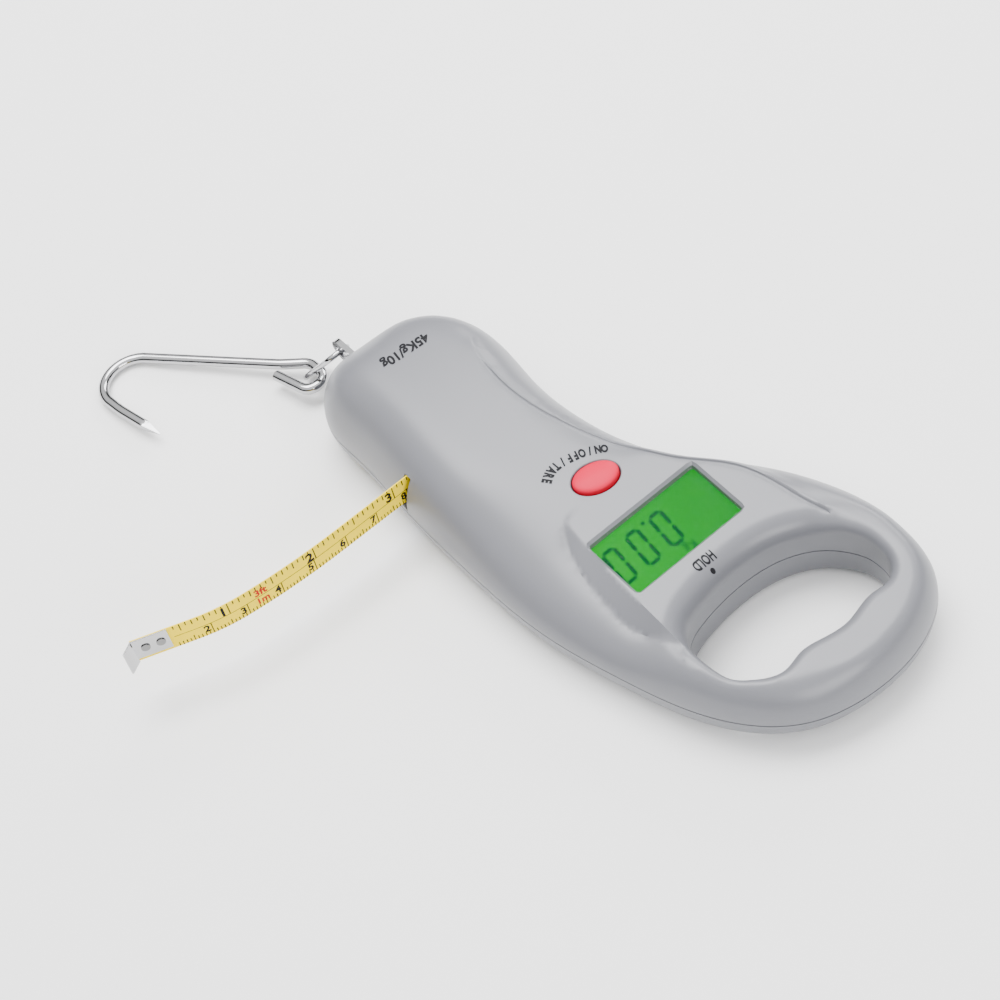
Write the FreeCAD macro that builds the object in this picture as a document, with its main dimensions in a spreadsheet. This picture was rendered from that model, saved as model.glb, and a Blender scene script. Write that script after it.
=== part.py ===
import FreeCAD, Part
import math
import os

import Sketcher
from FreeCAD import Placement, Rotation, Vector

# Digital hanging fish scale with a handle, a display, a pull-out tape and a wire hook.
# It lies on its flat back. +Z is the outward normal of the front face, +Y points to the handle
# and the hook end is at -Y. The origin is on the back plane, on the axis of the tape reel.

doc = FreeCAD.newDocument("FishScale")
sheet = doc.addObject("Spreadsheet::Sheet", "Sizes")

SIZES = [
    # Housing
    ("wall", 2.2),
    ("seamLevel", 9.6),
    ("blankTop", 40.0),
    ("frontRound", 6.0),
    ("backRound", 6.0),
    ("cavityRound", 3.0),
    ("backFlatEnd", 64.0),
    ("backSweep", 480.0),
    ("caseScrewHead", 2.6),
    ("caseScrewShank", 1.3),
    ("backBoss", 3.6),
    ("frontBoss", 3.0),
    # Display
    ("displayX", -11.0),
    ("displayY", 48.4),
    ("windowWide", 34.0),
    ("windowTall", 18.3),
    ("lensWide", 37.0),
    ("lensTall", 21.4),
    ("lensThick", 1.2),
    ("lensBase", 20.6),
    ("cellWide", 36.4),
    ("cellTall", 20.8),
    ("cellThick", 1.8),
    ("cellBase", 18.75),
    ("lightThick", 1.2),
    ("lightBase", 17.5),
    ("displayTilt", 4.7),
    ("frameFloor", 19.6),
    # Circuit board
    ("boardThick", 1.4),
    ("boardBase", 14.6),
    # Button
    ("buttonX", -8.4),
    ("buttonY", 26.0),
    ("buttonTurn", -14.0),
    ("buttonLong", 12.4),
    ("buttonWide", 8.8),
    ("buttonGap", 0.3),
    ("buttonTop", 26.2),
    ("flangeGrow", 2.0),
    ("flangeThick", 1.2),
    ("flangeBase", 20.6),
    ("stemBase", 19.9),
    # Battery box
    ("trayX", -3.0),
    ("trayY", 39.6),
    ("trayWide", 24.0),
    ("trayLong", 49.2),
    ("trayWall", 1.2),
    ("trayBase", 2.3),
    ("trayTall", 11.9),
    ("doorWide", 23.0),
    ("doorLong", 47.0),
    ("doorThick", 1.8),
    ("doorBase", 0.2),
    ("doorGap", 0.3),
    ("batteryRadius", 5.2),
    ("batteryLong", 43.4),
    ("nubRadius", 1.9),
    ("nubLong", 1.0),
    ("batteryPitch", 10.7),
    ("batteryLevel", 7.7),
    # Load cell and lug
    ("pullX", 6.0),
    ("beamWide", 12.0),
    ("beamTall", 12.0),
    ("beamLong", 36.0),
    ("beamStart", -54.6),
    ("beamBase", 7.0),
    ("lugThick", 1.6),
    ("lugRound", 3.3),
    ("lugHole", 1.9),
    ("lugY", -63.8),
    ("lugLevel", 14.5),
    # Link and hook wire
    ("linkWire", 1.6),
    ("linkArc", 3.8),
    ("hookWire", 3.0),
    # Screws of the circuit board and their bosses
    ("boardScrewShank", 0.9),
    ("boardScrewTip", 17.4),
    ("boardBoss", 2.2),
    # Tape and its reel
    ("axleRadius", 1.5),
    ("axleFit", 0.08),
    ("reelBase", 11.0),
    ("flangePlate", 1.0),
    ("coverPlate", 0.5),
    ("reelTall", 10.4),
    ("reelRadius", 13.4),
    ("hubOuter", 7.2),
    ("hubInner", 6.0),
    ("coilRadius", 12.4),
    ("tapeLine", -13.0),
    ("tapeWide", 8.4),
    ("tapeThick", 0.3),
    ("tapeBase", 12.2),
    ("reelCoverRadius", 15.0),
    ("coverEar", 3.2),
    ("reelCoverBase", 21.7),
    ("reelCoverThick", 1.2),
    ("postRadius", 2.2),
    ("postCircle", 17.1),
]


def fill_sheet():
    """Write one row per size: its name in column A and its value, with an alias, in column B."""
    for row, (name, value) in enumerate(SIZES, start=1):
        sheet.set("A%d" % row, name)
        sheet.set("B%d" % row, str(value))
        sheet.setAlias("B%d" % row, name)
    doc.recompute()


fill_sheet()
NODES = []


def size(name):
    """Read one size from the sheet."""
    return float(sheet.get(name))


# ---------------------------------------------------------------- document helpers


def bind(item, formulas):
    """Bind properties to sheet formulas, in which a # stands for the sheet's name."""
    for name, formula in formulas.items():
        item.setExpression(name, formula.replace("#", "Sizes."))


def seat(item, x, y, z):
    """Bind a piece's position to three formulas."""
    bind(item, {"Placement.Base.x": x, "Placement.Base.y": y, "Placement.Base.z": z})


def keep(item, label):
    """Name a finished piece and list it for export."""
    item.Label = label
    NODES.append(item)
    return item


def block(name, wide, long, tall, x, y, z):
    """Box primitive from formulas. The position is that of its lowest corner."""
    item = doc.addObject("Part::Box", name)
    bind(item, {"Length": wide, "Width": long, "Height": tall})
    seat(item, x, y, z)
    return item


def rod(name, radius, tall, x, y, z, direction=Vector(0, 0, 1)):
    """Cylinder primitive from formulas, along a direction."""
    item = doc.addObject("Part::Cylinder", name)
    bind(item, {"Radius": radius, "Height": tall})
    item.Placement.Rotation = Rotation(Vector(0, 0, 1), direction)
    seat(item, x, y, z)
    return item


def joined(name, pieces):
    """Fuse pieces into one."""
    item = doc.addObject("Part::MultiFuse", name)
    item.Shapes = pieces
    item.Refine = True
    return item


def grouped(name, pieces):
    """Separate solids kept together as one object."""
    item = doc.addObject("Part::Compound", name)
    item.Links = pieces
    return item


def less(name, base, tool):
    """Cut one object from another."""
    item = doc.addObject("Part::Cut", name)
    item.Base = base
    item.Tool = tool
    return item


def origin_plane(body, role):
    """One of a body's own origin planes."""
    return [item for item in body.Origin.OriginFeatures if item.Role == role][0]


def new_sketch(body, name, level="0"):
    """Sketch on the body's XY plane, raised to a level given by a formula."""
    sketch = body.newObject("Sketcher::SketchObject", name)
    sketch.AttachmentSupport = [(origin_plane(body, "XY_Plane"), "")]
    sketch.MapMode = "FlatFace"
    bind(sketch, {"AttachmentOffset.Base.z": level})
    return sketch


def draw_rectangle(sketch, wide, long):
    """Rectangle centred on the sketch's origin, with its two sizes bound to formulas."""
    corners = [(-1, -1), (1, -1), (1, 1), (-1, 1)]
    for (ax, ay), (bx, by) in zip(corners, corners[1:] + corners[:1]):
        sketch.addGeometry(Part.LineSegment(Vector(ax, ay, 0), Vector(bx, by, 0)), False)
    for index in range(4):
        sketch.addConstraint(Sketcher.Constraint("Coincident", index, 2, (index + 1) % 4, 1))
    for index, kind in enumerate(("Horizontal", "Vertical", "Horizontal", "Vertical")):
        sketch.addConstraint(Sketcher.Constraint(kind, index))
    sketch.addConstraint(Sketcher.Constraint("Symmetric", 0, 1, 1, 2, -1, 1))
    across = sketch.addConstraint(Sketcher.Constraint("DistanceX", 0, 1, 0, 2, 2.0))
    sketch.renameConstraint(across, "across")
    along = sketch.addConstraint(Sketcher.Constraint("DistanceY", 1, 1, 1, 2, 2.0))
    sketch.renameConstraint(along, "along")
    bind(sketch, {"Constraints.across": wide, "Constraints.along": long})


def draw_circle(sketch, name, radius, drawn):
    """Circle on the sketch's origin, first drawn at some radius, then bound to a formula."""
    index = sketch.addGeometry(Part.Circle(Vector(0, 0, 0), Vector(0, 0, 1), drawn), False)
    sketch.addConstraint(Sketcher.Constraint("Coincident", index, 3, -1, 1))
    bound = sketch.addConstraint(Sketcher.Constraint("Radius", index, drawn))
    sketch.renameConstraint(bound, name)
    bind(sketch, {"Constraints.%s" % name: radius})


def pad(body, sketch, tall):
    """Pad of a sketch with its height bound to a formula."""
    feature = body.newObject("PartDesign::Pad", sketch.Name + "_pad")
    feature.Profile = sketch
    bind(feature, {"Length": tall})
    return feature


def plate(label, wide, long, tall, place):
    """Flat rectangular plate: a sketch and a pad, centred on its place in plan."""
    body = doc.addObject("PartDesign::Body", label)
    sketch = new_sketch(body, label + "_outline")
    draw_rectangle(sketch, wide, long)
    pad(body, sketch, tall)
    seat(body, *place)
    return keep(body, label)


def turned(label, rings, place):
    """Stack of round pads on one axis, each given as (outer, bore or None, level, height)."""
    body = doc.addObject("PartDesign::Body", label)
    for number, (outer, bore, level, tall) in enumerate(rings):
        sketch = new_sketch(body, "%s_ring%d" % (label, number), level)
        draw_circle(sketch, "outer", outer, 2.0)
        if bore:
            draw_circle(sketch, "bore", bore, 1.0)
        pad(body, sketch, tall)
    seat(body, *place)
    return keep(body, label)


# ---------------------------------------------------------------- shape helpers


def smooth_loop(points, level):
    """Smooth closed curve through the points, as a wire at a level."""
    curve = Part.BSplineCurve()
    curve.interpolate(Points=[Vector(x, y, level) for x, y in points], PeriodicFlag=True)
    return Part.Wire([curve.toShape()])


def grown(points, distance):
    """The points of a closed outline moved outwards by a distance, or inwards if negative."""
    curve = Part.BSplineCurve()
    curve.interpolate(Points=[Vector(x, y, 0) for x, y in points], PeriodicFlag=True)
    following = points[1:] + points[:1]
    area = sum(a[0] * b[1] - b[0] * a[1] for a, b in zip(points, following))
    reach = math.copysign(distance, area * distance)
    moved = []
    for x, y in points:
        tangent = curve.tangent(curve.parameter(Vector(x, y, 0)))[0]
        moved.append((x + reach * tangent.y, y - reach * tangent.x))
    return moved


def prism(points, low, high):
    """Upright solid over a closed smooth outline."""
    return Part.Face(smooth_loop(points, low)).extrude(Vector(0, 0, high - low))


def span_box(low, high):
    """Box between two opposite corners."""
    return Part.makeBox(high[0] - low[0], high[1] - low[1], high[2] - low[2], Vector(*low))


def post(radius, x, y, low, high):
    """Upright cylinder between two levels."""
    return Part.makeCylinder(radius, high - low, Vector(x, y, low))


def oval(grow, low, high):
    """Upright solid over the button's oval outline, grown all round."""
    long_radius = size("buttonLong") / 2.0 + grow
    short_radius = size("buttonWide") / 2.0 + grow
    edge = Part.Ellipse(Vector(0, 0, 0), long_radius, short_radius).toShape()
    solid = Part.Face(Part.Wire([edge])).extrude(Vector(0, 0, high - low))
    solid.rotate(Vector(0, 0, 0), Vector(0, 0, 1), size("buttonTurn"))
    solid.translate(Vector(size("buttonX"), size("buttonY"), low))
    return solid


def rounded_path(corners, radii):
    """Wire of straight runs whose inner corners are tangent arcs of the given radii."""
    edges = []
    start = corners[0]
    for before, corner, after, radius in zip(corners, corners[1:], corners[2:], radii):
        into = (corner - before).normalize()
        out = (after - corner).normalize()
        half_turn = into.getAngle(out) / 2.0
        first = corner - into * (radius * math.tan(half_turn))
        last = corner + out * (radius * math.tan(half_turn))
        inwards = (out - into).normalize()
        middle = corner + inwards * (radius / math.cos(half_turn) - radius)
        edges.append(Part.makeLine(start, first))
        edges.append(Part.Arc(first, middle, last).toShape())
        start = last
    edges.append(Part.makeLine(start, corners[-1]))
    return Part.Wire(edges)


def swept(path, diameter):
    """Round wire along a path."""
    edge = path.OrderedEdges[0]
    start = edge.valueAt(edge.FirstParameter)
    along = edge.tangentAt(edge.FirstParameter)
    profile = Part.Wire([Part.makeCircle(diameter / 2.0, start, along)])
    return path.makePipeShell([profile], True, False)


def add_shape(label, shape, refine=True):
    """Piece whose shape is worked out here from the sheet's sizes."""
    if refine:
        shape = shape.removeSplitter()
    solids = shape.Solids
    item = doc.addObject("Part::Feature", label)
    item.Shape = solids[0] if len(solids) == 1 else Part.makeCompound(solids)
    item.Placement = Placement()
    return keep(item, label)


# ---------------------------------------------------------------- housing

# Plan outline at the seam, starting at the hook end and going round by the tape's side.
OUTLINE = [
    (3.0, -58.6), (16.0, -57.4), (22.2, -49.6), (23.6, -36.6), (25.2, -13.6), (26.2, 13.4),
    (25.2, 42.4), (20.5, 66.4), (12.5, 90.4), (-1.0, 106.4), (-19.0, 111.7), (-38.0, 108.7),
    (-49.5, 99.4), (-52.8, 85.4), (-51.5, 68.4), (-41.5, 45.9), (-28.5, 26.4), (-22.3, 6.4),
    (-21.4, -13.6), (-23.0, -35.6), (-16.5, -49.6),
]
# Hand opening, with three finger ridges on its outer side.
HAND_HOLE = [
    (6.4, 75.4), (7.0, 83.9), (5.6, 89.4), (2.6, 92.8), (-1.0, 95.4), (-4.5, 96.4),
    (-10.2, 95.4), (-17.0, 96.4), (-24.0, 97.2), (-33.0, 95.6), (-38.6, 95.8), (-42.6, 92.3),
    (-43.6, 87.8), (-43.4, 83.7), (-42.0, 80.0), (-38.0, 74.3), (-29.1, 68.8), (-15.0, 66.9),
    (-3.6, 68.3), (3.0, 70.9),
]
# Side view of the front face, as (y, z) from the hook end to the handle.
FRONT_RISE = [
    (-63.6, 26.0), (-46.6, 27.6), (-26.6, 28.2), (-1.6, 27.2), (23.4, 25.0), (48.4, 22.6),
    (73.4, 21.2), (93.4, 20.0), (114.4, 19.0),
]
# Case screws as (x, y, level of the tip), driven from the back.
CASE_SCREWS = [
    (-14.0, -40.0, 20.0), (16.6, -40.0, 20.0), (19.0, 25.0, 17.6), (-33.0, 50.0, 17.5),
    (-25.0, 104.0, 15.8),
]
BEAM_SCREWS = [(3.2, -23.4), (8.8, -23.4)]
BOARD_SCREWS = [(12.0, 59.0), (-26.0, 34.8)]
# Directions of the reel's three posts about its axle, in degrees.
REEL_POSTS = [40.0, 135.0, 250.0]
SIDE_REACH = 70.0


def back_rise(y):
    """Height of the back face above the table, which sweeps up under the handle."""
    past = max(0.0, y - size("backFlatEnd"))
    radius = size("backSweep")
    return radius - math.sqrt(radius * radius - past * past)


def under_front(drop):
    """Slab that fills the space below the front face, lowered by a drop."""
    curve = Part.BSplineCurve()
    curve.interpolate([Vector(-SIDE_REACH, y, z - drop) for y, z in FRONT_RISE])
    first = curve.value(curve.FirstParameter)
    last = curve.value(curve.LastParameter)
    near = Vector(-SIDE_REACH, first.y, 0)
    far = Vector(-SIDE_REACH, last.y, 0)
    edges = [curve.toShape(), Part.makeLine(last, far), Part.makeLine(far, near)]
    edges.append(Part.makeLine(near, first))
    return Part.Face(Part.Wire(edges)).extrude(Vector(2 * SIDE_REACH, 0, 0))


def over_back(lift):
    """Slab that fills the space above the back face, raised by a lift."""
    far_y = 120.0
    start_y = -70.0
    flat_end = size("backFlatEnd")
    middle_y = (flat_end + far_y) / 2.0
    corner = Vector(-SIDE_REACH, flat_end, lift)
    middle = Vector(-SIDE_REACH, middle_y, lift + back_rise(middle_y))
    last = Vector(-SIDE_REACH, far_y, lift + back_rise(far_y))
    top = size("blankTop")
    start = Vector(-SIDE_REACH, start_y, lift)
    top_last = Vector(-SIDE_REACH, far_y, top)
    top_start = Vector(-SIDE_REACH, start_y, top)
    edges = [Part.makeLine(start, corner), Part.Arc(corner, middle, last).toShape()]
    edges += [Part.makeLine(last, top_last), Part.makeLine(top_last, top_start)]
    edges.append(Part.makeLine(top_start, start))
    return Part.Face(Part.Wire(edges)).extrude(Vector(2 * SIDE_REACH, 0, 0))


def edges_between(solid, low, high):
    """Edges that lie wholly between two levels and aren't straight seams or creases."""
    found = []
    for edge in solid.Edges:
        box = edge.BoundBox
        if box.ZMin > low and box.ZMax < high and not isinstance(edge.Curve, Part.Line):
            found.append(edge)
    return found


def front_blank(points, drop, rounding):
    """Upper half: outline prism under the front face, with its edge rounded."""
    solid = prism(points, size("seamLevel"), size("blankTop")).common(under_front(drop))
    return solid.makeFillet(rounding, edges_between(solid, size("seamLevel") + 1.0, size("blankTop") - 1.0))


def back_blank(points, lift, rounding):
    """Lower half: outline prism above the back face, with its edge rounded."""
    solid = prism(points, -1.0, size("seamLevel")).common(over_back(lift))
    return solid.makeFillet(rounding, edges_between(solid, -0.5, size("seamLevel") - 1.0))


def hollowed(blank, cavity):
    """Shell with a hand opening: the blank less its cavity, which stays a wall off the opening."""
    opening = prism(HAND_HOLE, -5.0, size("blankTop"))
    sleeve = prism(grown(HAND_HOLE, size("wall")), -5.0, size("blankTop"))
    return blank.cut(opening), cavity.cut(sleeve)


def lug_slot():
    """Slot through the hook end for the lug, half in each shell."""
    side = 0.7
    x = size("pullX")
    half = size("lugThick") / 2.0 + side
    low = size("lugLevel") - size("lugRound") - side
    high = size("lugLevel") + size("lugRound") + side
    return span_box((x - half, -62.0, low), (x + half, -52.0, high))


def tilted(solid):
    """Lean a solid with the display, which is parallel to the front face."""
    centre = Vector(size("displayX"), size("displayY"), size("lensBase"))
    solid.rotate(centre, Vector(1, 0, 0), -size("displayTilt"))
    return solid


def display_frame():
    """Thick frame round the display, before its window and lens seat are cut."""
    margin = 2.5
    half_wide = size("lensWide") / 2.0 + margin
    half_tall = size("lensTall") / 2.0 + margin
    x = size("displayX")
    y = size("displayY")
    low = (x - half_wide, y - half_tall, size("frameFloor"))
    return tilted(span_box(low, (x + half_wide, y + half_tall, size("blankTop"))))


def display_opening():
    """Window through the front face and the seat for the lens behind it."""
    x = size("displayX")
    y = size("displayY")
    seat_gap = 0.2
    half_wide = size("windowWide") / 2.0
    half_tall = size("windowTall") / 2.0
    low = size("boardBase") + size("boardThick")
    top = size("blankTop")
    window = span_box((x - half_wide, y - half_tall, low), (x + half_wide, y + half_tall, top))
    seat_wide = size("lensWide") / 2.0 + seat_gap
    seat_tall = size("lensTall") / 2.0 + seat_gap
    seat_top = size("lensBase") + size("lensThick") + 0.02
    seat_box = span_box((x - seat_wide, y - seat_tall, low), (x + seat_wide, y + seat_tall, seat_top))
    return tilted(window.fuse(seat_box))


def make_front_shell():
    """Front half of the housing with display frame, screw bosses and openings."""
    wall = size("wall")
    seam = size("seamLevel")
    blank = front_blank(OUTLINE, 0.0, size("frontRound"))
    cavity = front_blank(grown(OUTLINE, -wall), wall, size("cavityRound"))
    body, cavity = hollowed(blank, cavity)
    added = [display_frame()]
    for x, y, tip in CASE_SCREWS:
        added.append(post(size("frontBoss"), x, y, seam, size("blankTop")))
    for x, y in BOARD_SCREWS:
        added.append(post(size("boardBoss"), x, y, size("boardBase") + size("boardThick") + 0.02,
                          size("blankTop")))
    shell = body.cut(cavity).fuse([piece.common(body) for piece in added])
    removed = [display_opening(), oval(size("buttonGap"), seam, size("blankTop")), lug_slot()]
    for x, y, tip in CASE_SCREWS:
        removed.append(post(size("caseScrewShank"), x, y, seam - 1.0, tip + 0.6))
    for x, y in BOARD_SCREWS:
        removed.append(post(size("boardScrewShank"), x, y, seam, size("boardScrewTip") + 0.4))
    blade = size("tapeLine")
    slot_low = size("tapeBase") - 1.2
    removed.append(span_box((20.0, blade - 0.7, slot_low), (30.0, blade + 1.9, 20.9)))
    return add_shape("front_shell", shell.cut(removed), False)


def door_opening():
    """Opening in the back for the battery door."""
    gap = size("doorGap")
    half_wide = size("doorWide") / 2.0 + gap
    half_long = size("doorLong") / 2.0 + gap
    x = size("trayX")
    y = size("trayY")
    return span_box((x - half_wide, y - half_long, -1.0), (x + half_wide, y + half_long, 2.3))


def reel_post_spots():
    """Places of the three posts that carry the reel's cover."""
    radius = size("postCircle")
    turns = [math.radians(angle) for angle in REEL_POSTS]
    return [(radius * math.cos(turn), radius * math.sin(turn)) for turn in turns]


def make_back_shell():
    """Back half of the housing with bosses, reel posts, load cell seat and door opening."""
    wall = size("wall")
    seam = size("seamLevel")
    blank = back_blank(OUTLINE, 0.0, size("backRound"))
    cavity = back_blank(grown(OUTLINE, -wall), wall, size("cavityRound"))
    body, cavity = hollowed(blank, cavity)
    seat_low = (size("pullX") - 5.0, -28.2, 1.0)
    added = [post(4.0, 0.0, 0.0, 1.0, size("reelBase") - 0.3)]
    added.append(span_box(seat_low, (size("pullX") + 5.0, -18.6, size("beamBase"))))
    removed = [post(size("axleRadius"), 0.0, 0.0, 3.0, size("reelBase") + 1.0)]
    removed += [door_opening(), lug_slot()]
    for x, y, tip in CASE_SCREWS:
        lift = back_rise(y)
        added.append(post(size("backBoss"), x, y, lift + 1.0, seam))
        removed.append(post(size("caseScrewHead") + 0.4, x, y, -1.0, lift + 3.9))
        removed.append(post(size("caseScrewShank") + 0.3, x, y, 0.0, seam + 1.0))
    for x, y in BEAM_SCREWS:
        removed.append(post(2.6, x, y, -1.0, 2.6))
        removed.append(post(1.4, x, y, 0.0, size("beamBase") + 1.0))
    for x, y in reel_post_spots():
        added.append(post(size("postRadius"), x, y, 1.0, size("reelCoverBase")))
        removed.append(post(0.9, x, y, 14.0, size("reelCoverBase") + 1.0))
    shell = body.cut(cavity).fuse(added)
    return add_shape("back_shell", shell.cut(removed), False)


def screw(x, y, head, shank, head_low, head_high, tip, slot_wide=0.6):
    """Pan-head screw with a cross slot in its head, on the side away from the tip."""
    head_solid = post(head, x, y, min(head_low, head_high), max(head_low, head_high))
    shank_solid = post(shank, x, y, min(head_high, tip), max(head_high, tip))
    slot_deep = math.copysign(0.8, head_high - head_low)
    slot_low, slot_high = sorted((head_low, head_low + slot_deep))
    half_long = head * 0.7
    half_wide = slot_wide / 2.0
    solid = head_solid.fuse(shank_solid)
    for reach_x, reach_y in ((half_long, half_wide), (half_wide, half_long)):
        low = (x - reach_x, y - reach_y, slot_low)
        solid = solid.cut(span_box(low, (x + reach_x, y + reach_y, slot_high)))
    return solid


def make_screws():
    """The four sets of screws, each set one node."""
    case = []
    for x, y, tip in CASE_SCREWS:
        lift = back_rise(y)
        case.append(screw(x, y, size("caseScrewHead"), size("caseScrewShank"), lift + 2.0, lift + 3.9, tip))
    add_shape("case_screws", Part.makeCompound(case))
    beam = [screw(x, y, 2.3, 1.2, 0.8, 2.6, 13.0) for x, y in BEAM_SCREWS]
    add_shape("load_cell_screws", Part.makeCompound(beam))
    shank = size("boardScrewShank")
    tip = size("boardScrewTip")
    board = [screw(x, y, 1.8, shank, 13.4, size("boardBase"), tip) for x, y in BOARD_SCREWS]
    add_shape("board_screws", Part.makeCompound(board))
    top = size("reelCoverBase") + size("reelCoverThick")
    cover = [screw(x, y, 1.7, 0.9, top + 0.6, top, 15.0, 0.4) for x, y in reel_post_spots()]
    add_shape("reel_cover_screws", Part.makeCompound(cover))


# ---------------------------------------------------------------- display, board and button

BOARD_OUTLINE = [(-18.5, 16.6), (14.4, 16.6), (14.4, 62.4), (-28.6, 62.4), (-28.6, 33.0), (-23.5, 23.0)]


def layer_place(base):
    """Place of one display layer, measured square to the leaning lens."""
    lean = "(%s - #lensBase)" % base
    return ("#displayX", "#displayY + sin(#displayTilt) * " + lean,
            "#lensBase + cos(#displayTilt) * " + lean)


def make_display():
    """Lens, liquid crystal cell, backlight and the two rubber strips that connect the cell."""
    layers = [
        plate("display_lens", "#lensWide", "#lensTall", "#lensThick", layer_place("#lensBase")),
        plate("display_cell", "#cellWide", "#cellTall", "#cellThick", layer_place("#cellBase")),
        plate("display_backlight", "#cellWide - 1.6", "#cellTall - 4.2", "#lightThick",
              layer_place("#lightBase")),
    ]
    for layer in layers:
        layer.Placement.Rotation = Rotation(Vector(1, 0, 0), -size("displayTilt"))
    strips = []
    sides = [("#displayY - #cellTall / 2", 1.0), ("#displayY + #cellTall / 2 - 1.6", -1.0)]
    for number, (y, side) in enumerate(sides):
        tall = "#cellBase - 0.25 - #boardBase - #boardThick + (%g) * (#cellTall / 2 - %g) * tan(#displayTilt)"
        inset = 1.6 if side > 0 else 0.0
        strips.append(block("strip%d" % number, "#cellWide - 2", "1.6", tall % (side, inset),
                            "#displayX - #cellWide / 2 + 1", y, "#boardBase + #boardThick"))
    keep(grouped("display_strips", strips), "display_strips")


def make_board():
    """Circuit board with its cut corner and two screw holes."""
    corners = [Vector(x, y, size("boardBase")) for x, y in BOARD_OUTLINE]
    outline = Part.makePolygon(corners + corners[:1])
    board = Part.Face(outline).extrude(Vector(0, 0, size("boardThick")))
    for x, y in BOARD_SCREWS:
        board = board.cut(post(1.1, x, y, 10.0, 20.0))
    add_shape("circuit_board", board)
    turned("chip_cover", [("4.2", None, "0", "0.6"), ("3.2", None, "0.6", "0.5")],
           ("4.0", "26.0", "#boardBase + #boardThick"))


def make_button():
    """Oval button with a flange that holds it in the housing, and the switch under it."""
    low = size("flangeBase")
    cap = oval(0.0, low, size("buttonTop"))
    top_edges = edges_between(cap, size("buttonTop") - 0.5, size("buttonTop") + 0.5)
    cap = cap.makeFillet(1.0, top_edges)
    flange = oval(size("flangeGrow"), low, low + size("flangeThick"))
    stem = post(2.0, size("buttonX"), size("buttonY"), size("stemBase"), low + 0.5)
    add_shape("power_button", cap.fuse(flange).fuse(stem))
    base = block("switch_base", "6", "6", "1.9", "#buttonX - 3", "#buttonY - 3", "#boardBase + #boardThick")
    tip = rod("switch_tip", "1.7", "0.9", "#buttonX", "#buttonY", "#boardBase + #boardThick + 1.9")
    keep(joined("button_switch", [base, tip]), "button_switch")


# ---------------------------------------------------------------- battery box


def make_battery_box():
    """Tray open to the back, two cells, their contacts and springs, and the door."""
    x = "#trayX - #trayWide / 2"
    y = "#trayY - #trayLong / 2"
    outer = block("tray_block", "#trayWide", "#trayLong", "#trayTall", x, y, "#trayBase")
    hollow = block("tray_hollow", "#trayWide - 2 * #trayWall", "#trayLong - 2 * #trayWall", "#trayTall",
                   x + " + #trayWall", y + " + #trayWall", "#trayBase - #trayWall")
    keep(less("battery_tray", outer, hollow), "battery_tray")
    cells = []
    springs = []
    contacts = []
    start = "#trayY - #trayLong / 2 + #trayWall"
    end = "#trayY + #trayLong / 2 - #trayWall"
    along = Vector(0, 1, 0)
    back = Vector(0, -1, 0)
    for number, side in enumerate(("- #batteryPitch / 2", "+ #batteryPitch / 2")):
        line = "#trayX " + side
        forward = number == 0
        origin = start + " + 2" if forward else end + " - 2"
        nub_at = origin + (" + #batteryLong" if forward else " - #batteryLong")
        way = along if forward else back
        can = rod("can%d" % number, "#batteryRadius", "#batteryLong", line, origin, "#batteryLevel", way)
        nub = rod("nub%d" % number, "#nubRadius", "#nubLong", line, nub_at, "#batteryLevel", way)
        cells.append(joined("battery%d" % number, [can, nub]))
        spring_at = origin + (" - 1.6" if forward else " + 1.6")
        springs.append(rod("spring%d" % number, "2.6", "1.5", line, spring_at, "#batteryLevel", way))
    for number, y_low in enumerate((start + " + 0.02", end + " - 0.32")):
        contacts.append(block("contact%d" % number, "#trayWide - 2 * #trayWall - 1.6", "0.3", "7",
                              x + " + #trayWall + 0.8", y_low, "#batteryLevel - 3.5"))
    keep(grouped("battery_cells", cells), "battery_cells")
    keep(grouped("contact_springs", springs), "contact_springs")
    keep(grouped("battery_contacts", contacts), "battery_contacts")
    plate("battery_door", "#doorWide", "#doorLong", "#doorThick", ("#trayX", "#trayY", "#doorBase"))


# ---------------------------------------------------------------- load cell, lug, link and hook


def make_load_cell():
    """S-shaped aluminium load cell, the gauges on it, the lug in its end and the lug's pin."""
    x = size("pullX") - size("beamWide") / 2.0
    y = size("beamStart")
    low = size("beamBase")
    middle = y + size("beamLong") / 2.0
    bar = Part.makeBox(size("beamWide"), size("beamLong"), size("beamTall"), Vector(x, y, low))
    slot_reach = 9.0
    bar = bar.cut(span_box((x - 1, middle - 7.0, low - 1), (x + slot_reach, middle - 5.6, low + 20)))
    other = (x + size("beamWide") - slot_reach, middle + 5.6, low - 1)
    bar = bar.cut(span_box(other, (x + size("beamWide") + 1, middle + 7.0, low + 20)))
    for shift in (-2.4, 2.4):
        bar = bar.cut(post(2.2, size("pullX"), middle + shift, low - 1.0, low + 20.0))
    slot_half = size("lugThick") / 2.0 + 0.05
    lug_x = size("pullX")
    bar = bar.cut(span_box((lug_x - slot_half, y - 1, low - 1), (lug_x + slot_half, y + 8.0, low + 20)))
    pin_y = y + 4.0
    pin_z = size("lugLevel")
    pin = Part.makeCylinder(1.2, size("beamWide"), Vector(x, pin_y, pin_z), Vector(1, 0, 0))
    for spot_x, spot_y in BEAM_SCREWS:
        bar = bar.cut(post(1.2, spot_x, spot_y, low - 1.0, 13.6))
    add_shape("load_cell", bar.cut(pin))
    add_shape("lug_pin", pin)
    patches = []
    for side in (x - 0.2, x + size("beamWide")):
        patches.append(span_box((side, middle - 3.5, low + 3.0), (side + 0.2, middle + 3.5, low + 9.0)))
    add_shape("strain_gauges", Part.makeCompound(patches))
    make_lug(pin, y + 7.6)


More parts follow.
